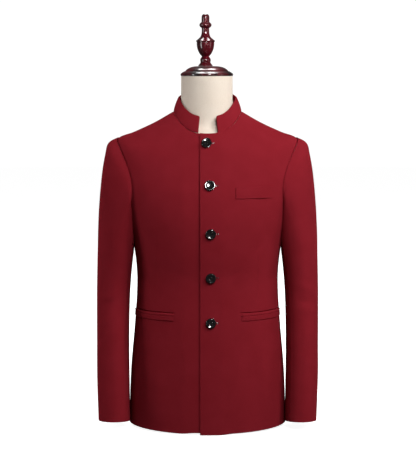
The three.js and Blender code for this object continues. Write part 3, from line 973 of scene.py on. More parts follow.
FRONT_CREASES_LEFT = (
    Crease(150, 492, 96, 402, 0.9, 11, 9),
    Crease(214, 352, 128, 338, 1.1, 8, -5),
    Crease(212, 326, 140, 316, -0.8, 8, 3),
    Crease(206, 298, 150, 294, 0.6, 7, 2),
    Crease(24, 352, 96, 368, 0.45, 8, 3),
    Crease(22, 452, 88, 470, 0.4, 9, -4),
    Crease(58, 12, 70, 214, -0.9, 16, 4),
    Crease(104, 10, 98, 190, 0.9, 15, -3),
    Crease(152, 12, 136, 226, -1.0, 15, 5),
    Crease(128, 604, 118, 500, 0.9, 14, -6),
    Crease(60, 630, 74, 560, -0.5, 16, 4),
)
FRONT_CREASES_RIGHT = (
    Crease(158, 500, 104, 398, 1.0, 12, 8),
    Crease(212, 348, 118, 332, 1.0, 9, -6),
    Crease(210, 322, 136, 310, -0.9, 8, 4),
    Crease(208, 292, 158, 287, 0.5, 7, 2),
    Crease(30, 350, 104, 372, 0.55, 9, 4),
    Crease(44, 560, 58, 470, -0.5, 14, -5),
    Crease(72, 12, 60, 232, 0.9, 17, -5),
    Crease(112, 10, 120, 176, -0.9, 15, 4),
    Crease(166, 14, 148, 236, 1.0, 16, -5),
    Crease(120, 612, 108, 512, 1.0, 14, 6),
    Crease(66, 636, 84, 556, 0.6, 15, -5),
)
BACK_CREASES_LEFT = (
    Crease(176, 560, 118, 470, 1.1, 14, 9),
    Crease(150, 590, 92, 520, -0.7, 14, -6),
    Crease(196, 352, 92, 340, 1.3, 9, -7),
    Crease(188, 322, 84, 314, -0.9, 9, 5),
    Crease(176, 376, 70, 372, 0.8, 9, 5),
    Crease(40, 8, 52, 220, -0.9, 18, -5),
    Crease(92, 8, 84, 190, 1.0, 17, 5),
    Crease(142, 10, 132, 236, -1.0, 16, 5),
    Crease(24, 668, 76, 664, 0.8, 8, -4),
)
BACK_CREASES_RIGHT = (
    Crease(172, 552, 106, 478, 1.0, 13, -8),
    Crease(148, 596, 80, 532, -0.8, 15, 7),
    Crease(196, 346, 104, 330, 1.2, 9, 7),
    Crease(190, 318, 96, 304, -0.8, 9, -4),
    Crease(180, 372, 60, 366, 0.9, 10, -6),
    Crease(52, 8, 42, 200, 1.0, 18, 4),
    Crease(104, 8, 112, 214, -1.0, 17, -5),
    Crease(150, 10, 138, 180, 0.9, 15, 4),
    Crease(30, 670, 84, 660, 0.7, 8, 4),
)
SLEEVE_CREASES_LEFT = (
    Crease(88, 330, 18, 306, 1.2, 9, -6),
    Crease(86, 302, 30, 292, -0.9, 8, 4),
    Crease(92, 276, 10, 262, 0.9, 10, -5),
    Crease(84, 214, 34, 232, 0.7, 10, 5),
    Crease(40, 486, 58, 404, 1.0, 14, 6),
    Crease(12, 500, 4, 380, -0.8, 16, -4),
    Crease(-30, 470, -44, 380, 1.0, 15, 5),
    Crease(-52, 318, -8, 300, 0.8, 11, 5),
    Crease(60, 150, 46, 60, -0.6, 14, 4),
    Crease(8, 190, 18, 60, 0.7, 16, -5),
)
SLEEVE_CREASES_RIGHT = (
    Crease(90, 322, 22, 300, 1.1, 9, 6),
    Crease(90, 296, 36, 280, -0.8, 8, -4),
    Crease(86, 262, 20, 246, 1.0, 11, 5),
    Crease(88, 226, 40, 208, 0.6, 9, -4),
    Crease(36, 480, 62, 398, 1.1, 13, -6),
    Crease(6, 492, -4, 388, -0.9, 16, 5),
    Crease(-28, 462, -48, 372, 0.9, 15, -5),
    Crease(-50, 306, -12, 290, 0.9, 11, -4),
    Crease(54, 158, 40, 50, -0.7, 15, -4),
    Crease(14, 200, 10, 52, 0.8, 16, 5),
)


@dataclass(frozen=True)
class Dart:
    """A sewn dart: a fine line down a front, with its cloth pressed to one side."""

    across: float = 104.0
    top: float = 452.0
    bottom: float = 277.0
    deep: float = 0.55
    wide: float = 0.9
    swell: float = 0.35

    def relief(self, x: np.ndarray, z: np.ndarray) -> np.ndarray:
        """How far the dart moves each point out, by distance from centre and height."""
        run = np.clip((z - self.bottom) / (self.top - self.bottom), 0, 1)
        inside = (z > self.bottom) * smooth_step(self.top - z, 0, 26)
        side = x - (self.across + 4 * np.sin(math.pi * run))
        return inside * (self.swell * peak(side - 3.2, 2.6) - self.deep * peak(side, self.wide))


@dataclass
class JacketBody:
    """The two fronts, which lap at centre front, and the two halves of the back."""

    torso: Torso
    shop: Workshop
    wool: bpy.types.Material
    thick: float = 1.8
    over_edge: float = -16.5
    under_edge: float = -25.0
    over_lift: float = 1.5
    under_lift: float = -1.5
    lap_full: float = 26.0
    lap_none: float = 60.0
    over_hem_drop: float = 1.8
    under_hem_drop: float = -2.2
    hem_ease: float = 60.0
    rows: int = 150
    arm_rows: int = 84
    columns: int = 60
    front_cut: Cut = Cut(0.30, 0.74, 0.174)
    back_cut: Cut = Cut(0.27, 0.76, 0.146)
    mouth_inner: float = 74.0
    mouth_angle: float = 86.5
    mouth_height: float = 275.6
    mouth_deep: float = 2.4
    mouth_wide: float = 1.5

    def lap(self, x: np.ndarray) -> np.ndarray:
        """How fully a front is lifted or sunk for its lap."""
        return 1 - smooth_step(np.abs(x), self.lap_full, self.lap_none)

    def on_left(self, x: np.ndarray, z: np.ndarray, lift: float) -> np.ndarray:
        """A point above the left front's face, by distance from centre and height."""
        station = self.torso.station_at(x, z)
        angle = self.torso.angle_at(x, station)
        return self.torso.off(angle, station, self.over_lift * self.lap(x) + lift)

    def mouth(self, x: np.ndarray, z: np.ndarray, angle: np.ndarray) -> np.ndarray:
        """The trough of a hip pocket's mouth, just above its welt."""
        inside = smooth_step(x, self.mouth_inner - 1.5, self.mouth_inner + 2) * (
            angle < math.radians(self.mouth_angle)
        )
        return -self.mouth_deep * inside * peak(z - self.mouth_height, self.mouth_wide)

    def stations(self) -> np.ndarray:
        """Stations for a panel's rows, close at the edges, at the armhole's ends and at the pocket."""
        torso = self.torso
        even = graded(torso.hem, self.rows) * torso.hem
        even = even[(even < torso.arm_top) | (even > torso.arm_bottom)]
        middle, half = (torso.arm_top + torso.arm_bottom) / 2, (torso.arm_bottom - torso.arm_top) / 2
        arm = middle - half * np.cos(np.linspace(0, math.pi, self.arm_rows))
        pocket = torso.station_at(np.array(120.0), np.array(self.mouth_height)) + np.linspace(-4, 4, 17)
        return np.unique(np.concatenate([even, arm, pocket]).round(3))

    def spaced(self, start: np.ndarray, end: np.ndarray, stations: np.ndarray, length: float) -> np.ndarray:
        """Angles from start to end on each ring, spaced by length."""
        fine = start[:, None] + (end - start)[:, None] * np.linspace(0, 1, 200)
        rings = self.torso.point(fine, stations[:, None])
        return by_length(rings, fine, graded(length, self.columns))

    def front(self, side: int) -> None:
        """One front, from its edge at centre front to shoulder seam, armhole and side seam.

        Args:
            side: 1 for the wearer's left front, -1 for the right one.
        """
        over = side > 0
        stations = self.stations()
        edge_x = self.over_edge if over else self.under_edge
        start = self.torso.angle_at(np.full_like(stations, edge_x), stations)
        end = self.torso.edge_angle(stations, self.torso.front_reach)
        angles = self.spaced(start, end, stations, 240)
        station = np.broadcast_to(stations[:, None], angles.shape)
        lap = self.lap(self.torso.point(angles, station)[..., 0])
        drop = self.over_hem_drop if over else self.under_hem_drop
        station = station + drop * lap * smooth_step(station, self.torso.hem - self.hem_ease, self.torso.hem)
        flat = self.torso.point(angles, station)
        x, z = flat[..., 0], flat[..., 2]
        lift = (self.over_lift if over else self.under_lift) * lap
        across = edge_x + distances(flat, 1)
        creases = FRONT_CREASES_LEFT if over else FRONT_CREASES_RIGHT
        relief = sum(crease.relief(across, z) for crease in creases)
        relief = relief * smooth_step(np.abs(x), 14, 34)
        relief = relief + Dart().relief(x, z) + self.mouth(x, z, angles)
        normals = self.torso.normal(angles, station)
        wall = ClothWall(
            flat + normals * lift[..., None], normals, self.thick,
            top=Edge.SEWN, end=Edge.SEWN, relief=relief,
        )
        self.panel("front", wall, side)

    def back(self, side: int) -> None:
        """Half of the back, from the side seam to the centre back seam.

        Args:
            side: 1 for the wearer's left half, -1 for the right one.
        """
        stations = self.stations()
        start = self.torso.edge_angle(stations, -self.torso.back_reach)
        end = math.pi - self.torso.angle_at(np.full_like(stations, self.torso.seam_gap / 2), stations)
        angles = self.spaced(start, end, stations, 220)
        station = np.broadcast_to(stations[:, None], angles.shape)
        flat = self.torso.point(angles, station)
        across = distances(flat[:, ::-1], 1)[:, ::-1]
        creases = BACK_CREASES_LEFT if side > 0 else BACK_CREASES_RIGHT
        relief = sum(crease.relief(across, flat[..., 2]) for crease in creases)
        normals = self.torso.normal(angles, station)
        wall = ClothWall(
            flat, normals, self.thick,
            top=Edge.SEWN, start=Edge.SEWN, end=Edge.SEWN, relief=relief,
        )
        self.panel("back", wall, side)

    def panel(self, part: str, wall: ClothWall, side: int) -> None:
        """Makes a laid out panel of one side."""
        node = f"{part}_{SIDES[side]}"
        cut_cloth(self.shop.wall(f"{node}_cloth", wall, side), self.wool, node)

    def build(self) -> None:
        """Makes the four panels."""
        for make in (self.front, self.back):
            for side in SIDES:
                make(side)


@dataclass
class StandCollar:
    """The interlined stand collar, cut away at centre front."""

    torso: Torso
    shop: Workshop
    wool: bpy.types.Material
    left_x: float = 19.0
    right_x: float = 17.0
    lift: float = -0.1
    bow: float = 1.2
    thick: float = 2.4
    half: float = 64.5
    front: float = 66.0
    back: float = 64.0
    side_z: float = 748.0
    fore_z: float = 706.0
    rear_z: float = 772.0
    dip: float = 7.0
    set_back: float = 10.0
    corner: float = 4.0
    cut: Cut = Cut(0.42, 0.06, 0.016)

    def point(self, angle: np.ndarray, share: np.ndarray) -> np.ndarray:
        """A point of the collar.

        Args:
            angle: radians from centre front.
            share: 0 at its seam on the neckline and 1 at its top edge.

        Returns:
            The points.
        """
        angle, share = np.broadcast_arrays(np.asarray(angle, float), np.asarray(share, float))
        s, c = np.sin(angle), np.cos(angle)
        fore = c > 0
        foot = self.torso.point(angle, np.zeros_like(angle))
        depth = np.where(fore, self.front, self.back)
        centre = np.where(fore, self.fore_z, self.rear_z)
        top = np.stack(
            [
                self.half * s,
                -depth * c + self.set_back * s * s,
                self.side_z * s * s + centre * c * c - np.where(fore, self.dip * np.sin(2 * angle) ** 2, 0),
            ],
            axis=-1,
        )
        bow = 1 + self.bow / self.half * np.sin(np.pi * share)
        point = foot + (top - foot) * share[..., None]
        point[..., :2] *= bow[..., None]
        point[..., 2] += self.lift * (1 - share)
        return point

    def build(self) -> None:
        """Makes the collar, with its two upper corners rounded off."""
        start = math.asin(self.left_x / self.half)
        end = math.tau - math.asin(self.right_x / self.half)
        fine = np.linspace(start, end, 400)[None, :]
        high = graded(44, 22, self.thick / 2)
        angles = by_length(self.point(fine, np.ones_like(fine)), fine, graded(400, 190, self.thick / 2))
        angles = np.broadcast_to(angles, (len(high), angles.shape[1]))
        from_end = distances(self.point(angles[:1], np.ones_like(angles[:1])), 1)
        from_end = np.minimum(from_end, from_end[:, -1:] - from_end)
        near = np.clip(self.corner - from_end, 0, self.corner)
        drop = self.corner - np.sqrt(self.corner**2 - near**2)
        share = high[::-1, None] * (1 - drop / 40)
        points = self.point(angles, share)
        wall = ClothWall(points, grid_normals(points), self.thick, bottom=Edge.SEWN)
        cut_cloth(self.shop.wall("collar_cloth", wall), self.wool, "collar")


@dataclass
class Sleeves:
    """The two-piece sleeves, with their heads set into the armholes."""

    shape: SleeveShape
    shop: Workshop
    wool: bpy.types.Material
    front_seam: float = 126.0
    back_seam: float = -90.0
    seam_turn: float = -0.06
    thick: float = 1.8
    girth_radius: float = 48.0
    puff: float = 0.25
    puff_row: float = 0.05
    puff_reach: float = 0.04
    upper_columns: int = 74
    under_columns: int = 44
    head_rows: int = 54
    arm_rows: int = 110
    upper_cut: Cut = Cut(0.22, 0.66, 0.118)
    under_cut: Cut = Cut(0.14, 0.54, 0.064)

    def rows(self) -> np.ndarray:
        """Rows from the armhole to the cuff, close at both ends."""
        head = np.linspace(0, 1, self.head_rows) ** 1.35
        start = np.array([0, 0.0008, 0.0025, 0.005, 0.0075, 0.012, 0.02])
        arm = 1 + graded(441, self.arm_rows)[7:]
        return np.unique(np.concatenate([start, head[head > 0.028], arm]))

    def half(self, side: int, upper: bool) -> None:
        """The upper or the under half of a sleeve.

        Args:
            side: 1 for the wearer's left.
            upper: whether it is the upper half.
        """
        if upper:
            low, high = self.back_seam + self.seam_turn, self.front_seam - self.seam_turn
        else:
            low, high = self.front_seam + self.seam_turn, self.back_seam + 360 - self.seam_turn
        rows = self.rows()
        fine = np.broadcast_to(np.radians(np.linspace(low, high, 120)), (len(rows), 120))
        shares = graded(210 if upper else 110, self.upper_columns if upper else self.under_columns)
        angles = by_length(self.shape.point(fine, rows[:, None]), fine, shares)
        points = self.shape.point(angles, rows[:, None])
        signed = np.where(angles > math.pi, angles - math.tau, angles)
        creases = SLEEVE_CREASES_LEFT if side > 0 else SLEEVE_CREASES_RIGHT
        across = signed * self.girth_radius
        relief = sum(crease.relief(across, points[..., 2]) for crease in creases)
        relief = relief * smooth_step(rows, 0.05, 0.5)[:, None]
        crown = np.maximum(0, np.cos(angles)) ** 0.5
        relief = relief + self.puff * crown * peak(rows[:, None] - self.puff_row, self.puff_reach)
        wall = ClothWall(
            points, grid_normals(points), self.thick,
            top=Edge.SEWN, start=Edge.SEWN, end=Edge.SEWN, relief=relief,
        )
        node = f"{'upper' if upper else 'under'}_sleeve_{SIDES[side]}"
        cut_cloth(self.shop.wall(f"{node}_cloth", wall, side), self.wool, node)

    def build(self) -> None:
        """Makes both sleeves."""
        for side in SIDES:
            for upper in (True, False):
                self.half(side, upper)


@dataclass
class Pockets:
    """The welts of the chest pocket and the two lower pockets."""

    torso: Torso
    shop: Workshop
    wool: bpy.types.Material
    thick: float = 1.3
    lift: float = 0.35
    chest_inner: float = 61.0
    chest_outer: float = 141.0
    chest_low: float = 529.5
    chest_high: float = 25.0
    hip_inner: float = 75.0
    hip_angle: float = 86.0
    hip_low: float = 259.0
    hip_high: float = 15.5
    groove: float = 0.35
    hip_long: float = 130.0
    end_wide: float = 1.6
    chest_cut: Cut = Cut(0.095, 0.026, 0.0023)
    hip_cut: Cut = Cut(0.16, 0.017, 0.0022)

    def strip(
        self, node: str, angles: np.ndarray, stations: np.ndarray, side: int, relief: np.ndarray
    ) -> None:
        """A welt laid on a front.

        Args:
            node: the CAD node that it replaces.
            angles: angles of its grid.
            stations: stations of its grid.
            side: 1 for the wearer's left.
            relief: how far each point is moved out.
        """
        normals = self.torso.normal(angles, stations)
        points = self.torso.point(angles, stations) + normals * (self.lift + self.thick)
        wall = ClothWall(points, normals, self.thick, relief=relief, valley=0)
        cut_cloth(self.shop.wall(f"{node}_cloth", wall, side), self.wool, node)

    def chest(self) -> None:
        """The chest pocket's welt, its ends sewn down."""
        wide = self.chest_outer - self.chest_inner
        u = graded(wide, 60, self.thick / 2)[None, :]
        v = graded(self.chest_high, 24, self.thick / 2)[:, None]
        x = self.chest_inner + wide * u + 0 * v
        stations = self.torso.station_at(x, self.chest_low + self.chest_high * (1 - v))
        from_end = wide * np.minimum(u, 1 - u)
        ends = -0.3 * peak(from_end, self.end_wide) - 0.22 * peak(from_end - 4.6, 0.7)
        relief = ends + 0.25 * peak(v, 0.12)
        self.strip("breast_welt", self.torso.angle_at(x, stations), stations, 1, relief)

    def hip(self, side: int) -> None:
        """A lower pocket's welt: two lips that meet in a fine groove.

        Args:
            side: 1 for the wearer's left.
        """
        low, middle, high = (
            float(self.torso.station_at(self.hip_inner, self.hip_low + share * self.hip_high))
            for share in (0, 0.5, 1)
        )
        start = float(self.torso.angle_at(self.hip_inner, middle))
        u = graded(self.hip_long, 80, self.thick / 2)[None, :]
        v = graded(self.hip_high, 26, self.thick / 2)[:, None]
        angles = start + (math.radians(self.hip_angle) - start) * u + 0 * v
        stations = high + (low - high) * v + 0 * u
        lip = -self.groove * peak((v - 0.36) * self.hip_high, 0.8)
        roll = 0.35 * peak((v - 0.14) * self.hip_high, 2.2)
        ends = -0.3 * peak(self.hip_long * np.minimum(u, 1 - u), self.end_wide)
        node = f"hip_welt_{SIDES[side]}"
        self.strip(node, angles, stations, side, lip + roll + ends)

    def build(self) -> None:
        """Makes the three welts."""
        self.chest()
        for side in SIDES:
            self.hip(side)


# Modelling by operators


def select_only(*pieces: bpy.types.Object) -> None:
    """Leaves edit mode and selects these pieces alone, the first one active."""
    if bpy.context.object and bpy.context.object.mode != "OBJECT":
        bpy.ops.object.mode_set(mode="OBJECT")
    bpy.ops.object.select_all(action="DESELECT")
    for piece in pieces:
        piece.select_set(True)
    if pieces:
        bpy.context.view_layer.objects.active = pieces[0]


def select_faces(piece: bpy.types.Object, test: Callable[[Vector, Vector], bool]) -> None:
    """Selects the faces of the piece in edit mode that pass a test on centre and normal."""
    bpy.ops.object.mode_set(mode="OBJECT")
    for vertex in piece.data.vertices:
        vertex.select = False
    for edge in piece.data.edges:
        edge.select = False
    for face in piece.data.polygons:
        face.select = bool(test(face.center, face.normal))
    bpy.ops.object.mode_set(mode="EDIT")


def apply_modifiers(piece: bpy.types.Object) -> None:
    """Applies every modifier of the piece."""
    bpy.context.view_layer.objects.active = piece
    for modifier in list(piece.modifiers):
        bpy.ops.object.modifier_apply(modifier=modifier.name)


def placed_copy(model: bpy.types.Object, name: str, matrix: Matrix) -> bpy.types.Object:
    """A copy of a model with its own mesh, its place in the mesh."""
    mesh = model.data.copy()
    mesh.name = name
    mesh.transform(matrix)
    return linked(name, mesh)


@dataclass(frozen=True)
class ButtonPlace:
    """Where a button sits on the left front."""

    name: str
    x: float
    z: float


BUTTON_PLACES = (
    ButtonPlace("button_1", -2, 648),
    ButtonPlace("button_2", 5, 558),
    ButtonPlace("button_3", 7, 454),
    ButtonPlace("button_4", 7.5, 356),
    ButtonPlace("button_5", 7.5, 256),
)


@dataclass
class Buttons:
    """Four-hole buttons with their thread, and the worked buttonholes under them."""

    body: JacketBody
    shop: Workshop
    finishes: Finishes
    radius: float = 11.2
    thick: float = 4.2
    rim: float = 1.9
    dish: float = 1.5
    dish_rings: int = 6
    hole: float = 1.0
    spread: float = 2.5
    gap: float = 0.4
    strand: float = 0.42
    segments: int = 72
    slit: float = 24.0
    slit_start: float = -8.0
    stitch: float = 0.75

    def button_model(self) -> bpy.types.Object:
        """One button, its back on z = 0 and its face up.

        Returns:
            The model, in metres.
        """
        select_only()
        bpy.ops.mesh.primitive_cylinder_add(
            vertices=self.segments, radius=self.radius * MM, depth=self.thick * MM,
            location=(0, 0, self.thick / 2 * MM),
        )
        model = bpy.context.object
        bpy.ops.object.transform_apply(location=True, rotation=True, scale=True)
        select_faces(model, lambda centre, normal: normal.z > 0.9)
        bpy.ops.mesh.inset(thickness=self.rim * MM)
        step = 1 / (self.dish_rings + 1)
        for ring in range(self.dish_rings):
            bpy.ops.mesh.inset(thickness=(self.radius - self.rim) * step * MM)
            fall = self.dish * ((1 - ring * step) ** 2 - (1 - (ring + 1) * step) ** 2)
            bpy.ops.transform.translate(value=(0, 0, -fall * MM))
        bpy.ops.object.mode_set(mode="OBJECT")
        rounding = model.modifiers.new("rounding", "BEVEL")
        rounding.limit_method = "ANGLE"
        rounding.angle_limit = math.radians(30)
        rounding.width = 0.8 * MM
        rounding.segments = 4
        apply_modifiers(model)
        for x in (-1, 1):
            for y in (-1, 1):
                self.drill(model, x * self.spread, y * self.spread)
        select_only(model)
        bpy.ops.object.shade_smooth_by_angle(angle=math.radians(40))
        return model

    def drill(self, model: bpy.types.Object, x: float, y: float) -> None:
        """Cuts one thread hole through the model at x, y."""
        select_only()
        bpy.ops.mesh.primitive_cylinder_add(
            vertices=24, radius=self.hole * MM, depth=4 * self.thick * MM, location=(x * MM, y * MM, 0)
        )
        drill = bpy.context.object
        cut = model.modifiers.new("hole", "BOOLEAN")
        cut.operation = "DIFFERENCE"
        cut.object = drill
        cut.solver = "EXACT"
        apply_modifiers(model)
        bpy.data.objects.remove(drill)

    def thread_model(self) -> bpy.types.Object:
        """The thread of one button: pairs of strands between its holes and a shank behind it.

        Returns:
            The model, in metres, in the button's own place.
        """
        strands = []
        face = self.thick - self.dish
        for y in (-1, 1):
            for step in (-0.5, 0.5):
                select_only()
                at = (self.spread * MM, (y * self.spread + step * 2 * self.strand) * MM, (face - 0.6) * MM)
                bpy.ops.mesh.primitive_circle_add(vertices=10, radius=self.strand * MM, location=at)
                strand = bpy.context.object
                bpy.ops.object.transform_apply(location=True)
                bpy.ops.object.mode_set(mode="EDIT")
                bpy.ops.mesh.select_all(action="SELECT")
                bpy.ops.mesh.spin(steps=14, angle=-math.pi, center=(0, at[1], at[2]), axis=(0, 1, 0))
                bpy.ops.mesh.select_all(action="SELECT")
                bpy.ops.transform.resize(value=(1, 1, 0.42), center_override=(0, 0, at[2]))
                bpy.ops.mesh.select_all(action="DESELECT")
                bpy.ops.mesh.select_non_manifold()
                bpy.ops.mesh.edge_face_add()
                bpy.ops.mesh.select_all(action="SELECT")
                bpy.ops.mesh.remove_doubles(threshold=1e-6)
                bpy.ops.mesh.normals_make_consistent(inside=False)
                bpy.ops.object.mode_set(mode="OBJECT")
                strands.append(strand)
        select_only()
        bpy.ops.mesh.primitive_cylinder_add(
            vertices=20, radius=2.0 * MM, depth=(self.gap + 0.9) * MM,
            location=(0, 0, (0.45 - self.gap / 2) * MM),
        )
        strands.append(bpy.context.object)
        select_only(*strands)
        bpy.ops.object.join()
        model = bpy.context.object
        bpy.ops.object.transform_apply(location=True, rotation=True, scale=True)
        bpy.ops.object.shade_smooth_by_angle(angle=math.radians(50))
        return model

    def seat(self, place: ButtonPlace) -> Matrix:
        """The place of a button: its back just clears the cloth all round its rim.

        Args:
            place: where it sits.

        Returns:
            The matrix from the button's own frame to the row's.
        """
        torso = self.body.torso
        station = float(torso.station_at(np.array(place.x), np.array(place.z)))
        angle = float(torso.angle_at(np.array(place.x), station))
        normal = torso.normal(angle, station)
        seat = torso.off(angle, station, self.body.over_lift)
        turns = np.linspace(0, math.tau, 13)
        rim_station = station + self.radius * np.sin(turns)
        rim_angle = torso.angle_at(place.x + self.radius * np.cos(turns), rim_station)
        rises = (torso.off(rim_angle, rim_station, np.full_like(turns, self.body.over_lift)) - seat) @ normal
        origin = self.shop.metres(seat + normal * (max(0.0, float(rises.max())) + self.gap))
        z = Vector(normal)
        x = Vector((1, 0, 0)) - z * z.x
        x.normalize()
        y = z.cross(x)
        turned = Matrix((x, y, z)).transposed().to_4x4()
        return Matrix.Translation(Vector(origin)) @ turned

    def buttonhole(self, place: ButtonPlace) -> bpy.types.Object:
        """The worked edge of a buttonhole: a ridged loop of silk round its slit.

        Args:
            place: the place of the button that closes it.

        Returns:
            The piece.
        """
        around, sides = 168, 8
        half, end = self.slit / 2, 1.15
        loop = 4 * half + math.tau * end
        run = np.linspace(0, loop, around, endpoint=False)
        straight = 2 * half
        turn = math.pi * end
        x, z = np.zeros(around), np.zeros(around)
        first = run < straight
        x[first], z[first] = run[first] - half, -end
        bend = (run >= straight) & (run < straight + turn)
        a = (run[bend] - straight) / end - math.pi / 2
        x[bend], z[bend] = half + end * np.cos(a), end * np.sin(a)
        second = (run >= straight + turn) & (run < 2 * straight + turn)
        x[second], z[second] = half - (run[second] - straight - turn), end
        last = run >= 2 * straight + turn
        a = (run[last] - 2 * straight - turn) / end + math.pi / 2
        x[last], z[last] = -half + end * np.cos(a), end * np.sin(a)
        centre_x = place.x + self.slit_start + half
        path = self.body.on_left(centre_x + x, place.z + z, 0.12)
        ahead = unit(np.roll(path, -1, axis=0) - np.roll(path, 1, axis=0))
        station = float(self.body.torso.station_at(np.array(place.x), np.array(place.z)))
        up = self.body.torso.normal(float(self.body.torso.angle_at(np.array(place.x), station)), station)
        out = unit(np.cross(ahead, up))
        ridged = self.stitch * (0.82 + 0.18 * np.cos(run * math.tau / 0.9))
        turns = np.linspace(0, math.tau, sides, endpoint=False)
        ring = (
            path[:, None]
            + out[:, None] * (np.cos(turns) * ridged[:, None])[..., None]
            + up * (0.62 * np.sin(turns) * ridged[:, None])[..., None]
        )
        index = np.arange(around * sides).reshape(around, sides)
        ahead_index = np.roll(index, -1, axis=0)
        faces = np.stack(
            [index, ahead_index, np.roll(ahead_index, -1, axis=1), np.roll(index, -1, axis=1)], axis=-1
        ).reshape(-1, 4)
        number = place.name.split("_")[1]
        piece = self.shop.mesh_object(f"buttonhole_{number}", ring.reshape(-1, 3), faces, None)
        return dress(piece, self.finishes.silk, "wool")

    def build(self) -> None:
        """Makes the five buttons, each with its thread and buttonhole."""
        button, thread = self.button_model(), self.thread_model()
        for place in BUTTON_PLACES:
            matrix = self.seat(place)
            number = place.name.split("_")[1]
            dress(placed_copy(button, f"horn_button_{number}", matrix), self.finishes.horn, "horn", place.name)
            dress(placed_copy(thread, f"button_thread_{number}", matrix), self.finishes.black_silk, "horn")
            self.buttonhole(place)
        for model in (button, thread):
            bpy.data.objects.remove(model)


# The dress form


@dataclass(frozen=True)
class Turn:
    """A point of a turned profile: radius, height above the foot, and whether the edge is crisp."""

    radius: float
    height: float
    crisp: bool = False


CAP_PROFILE = (
    Turn(0, 0, True), Turn(57.2, 0, True), Turn(58.2, 1.4), Turn(57.8, 5.2), Turn(50.2, 10.4, True),
    Turn(48.2, 10.6, True), Turn(45, 14.2), Turn(38, 18.4), Turn(28.5, 21), Turn(15.5, 21.8),
    Turn(0, 21.8, True),
)
FINIAL_PROFILE = (
    Turn(0, 0, True), Turn(16.2, 0, True), Turn(15.2, 2.1), Turn(12.4, 5.5), Turn(10.8, 8.3, True),
    Turn(11.5, 11.1), Turn(11.5, 15.3), Turn(9.4, 18.5, True), Turn(7.8, 21.3, True), Turn(11.6, 25.3),
    Turn(15.2, 31.1), Turn(18.2, 39.3), Turn(19.4, 47.7), Turn(19.3, 52.9, True), Turn(21, 54.1),
    Turn(20.8, 55.9, True), Turn(16.4, 59.3), Turn(11.6, 63.9), Turn(9.2, 69.3), Turn(8.4, 75.7),
    Turn(8.3, 83.5, True), Turn(10.9, 85.1), Turn(13.3, 88.7), Turn(13, 92.3), Turn(9.8, 95.9, True),
    Turn(8.6, 97.1, True), Turn(8.6, 107.3), Turn(7.4, 111.7), Turn(4.6, 113.8), Turn(0, 114.2, True),
)


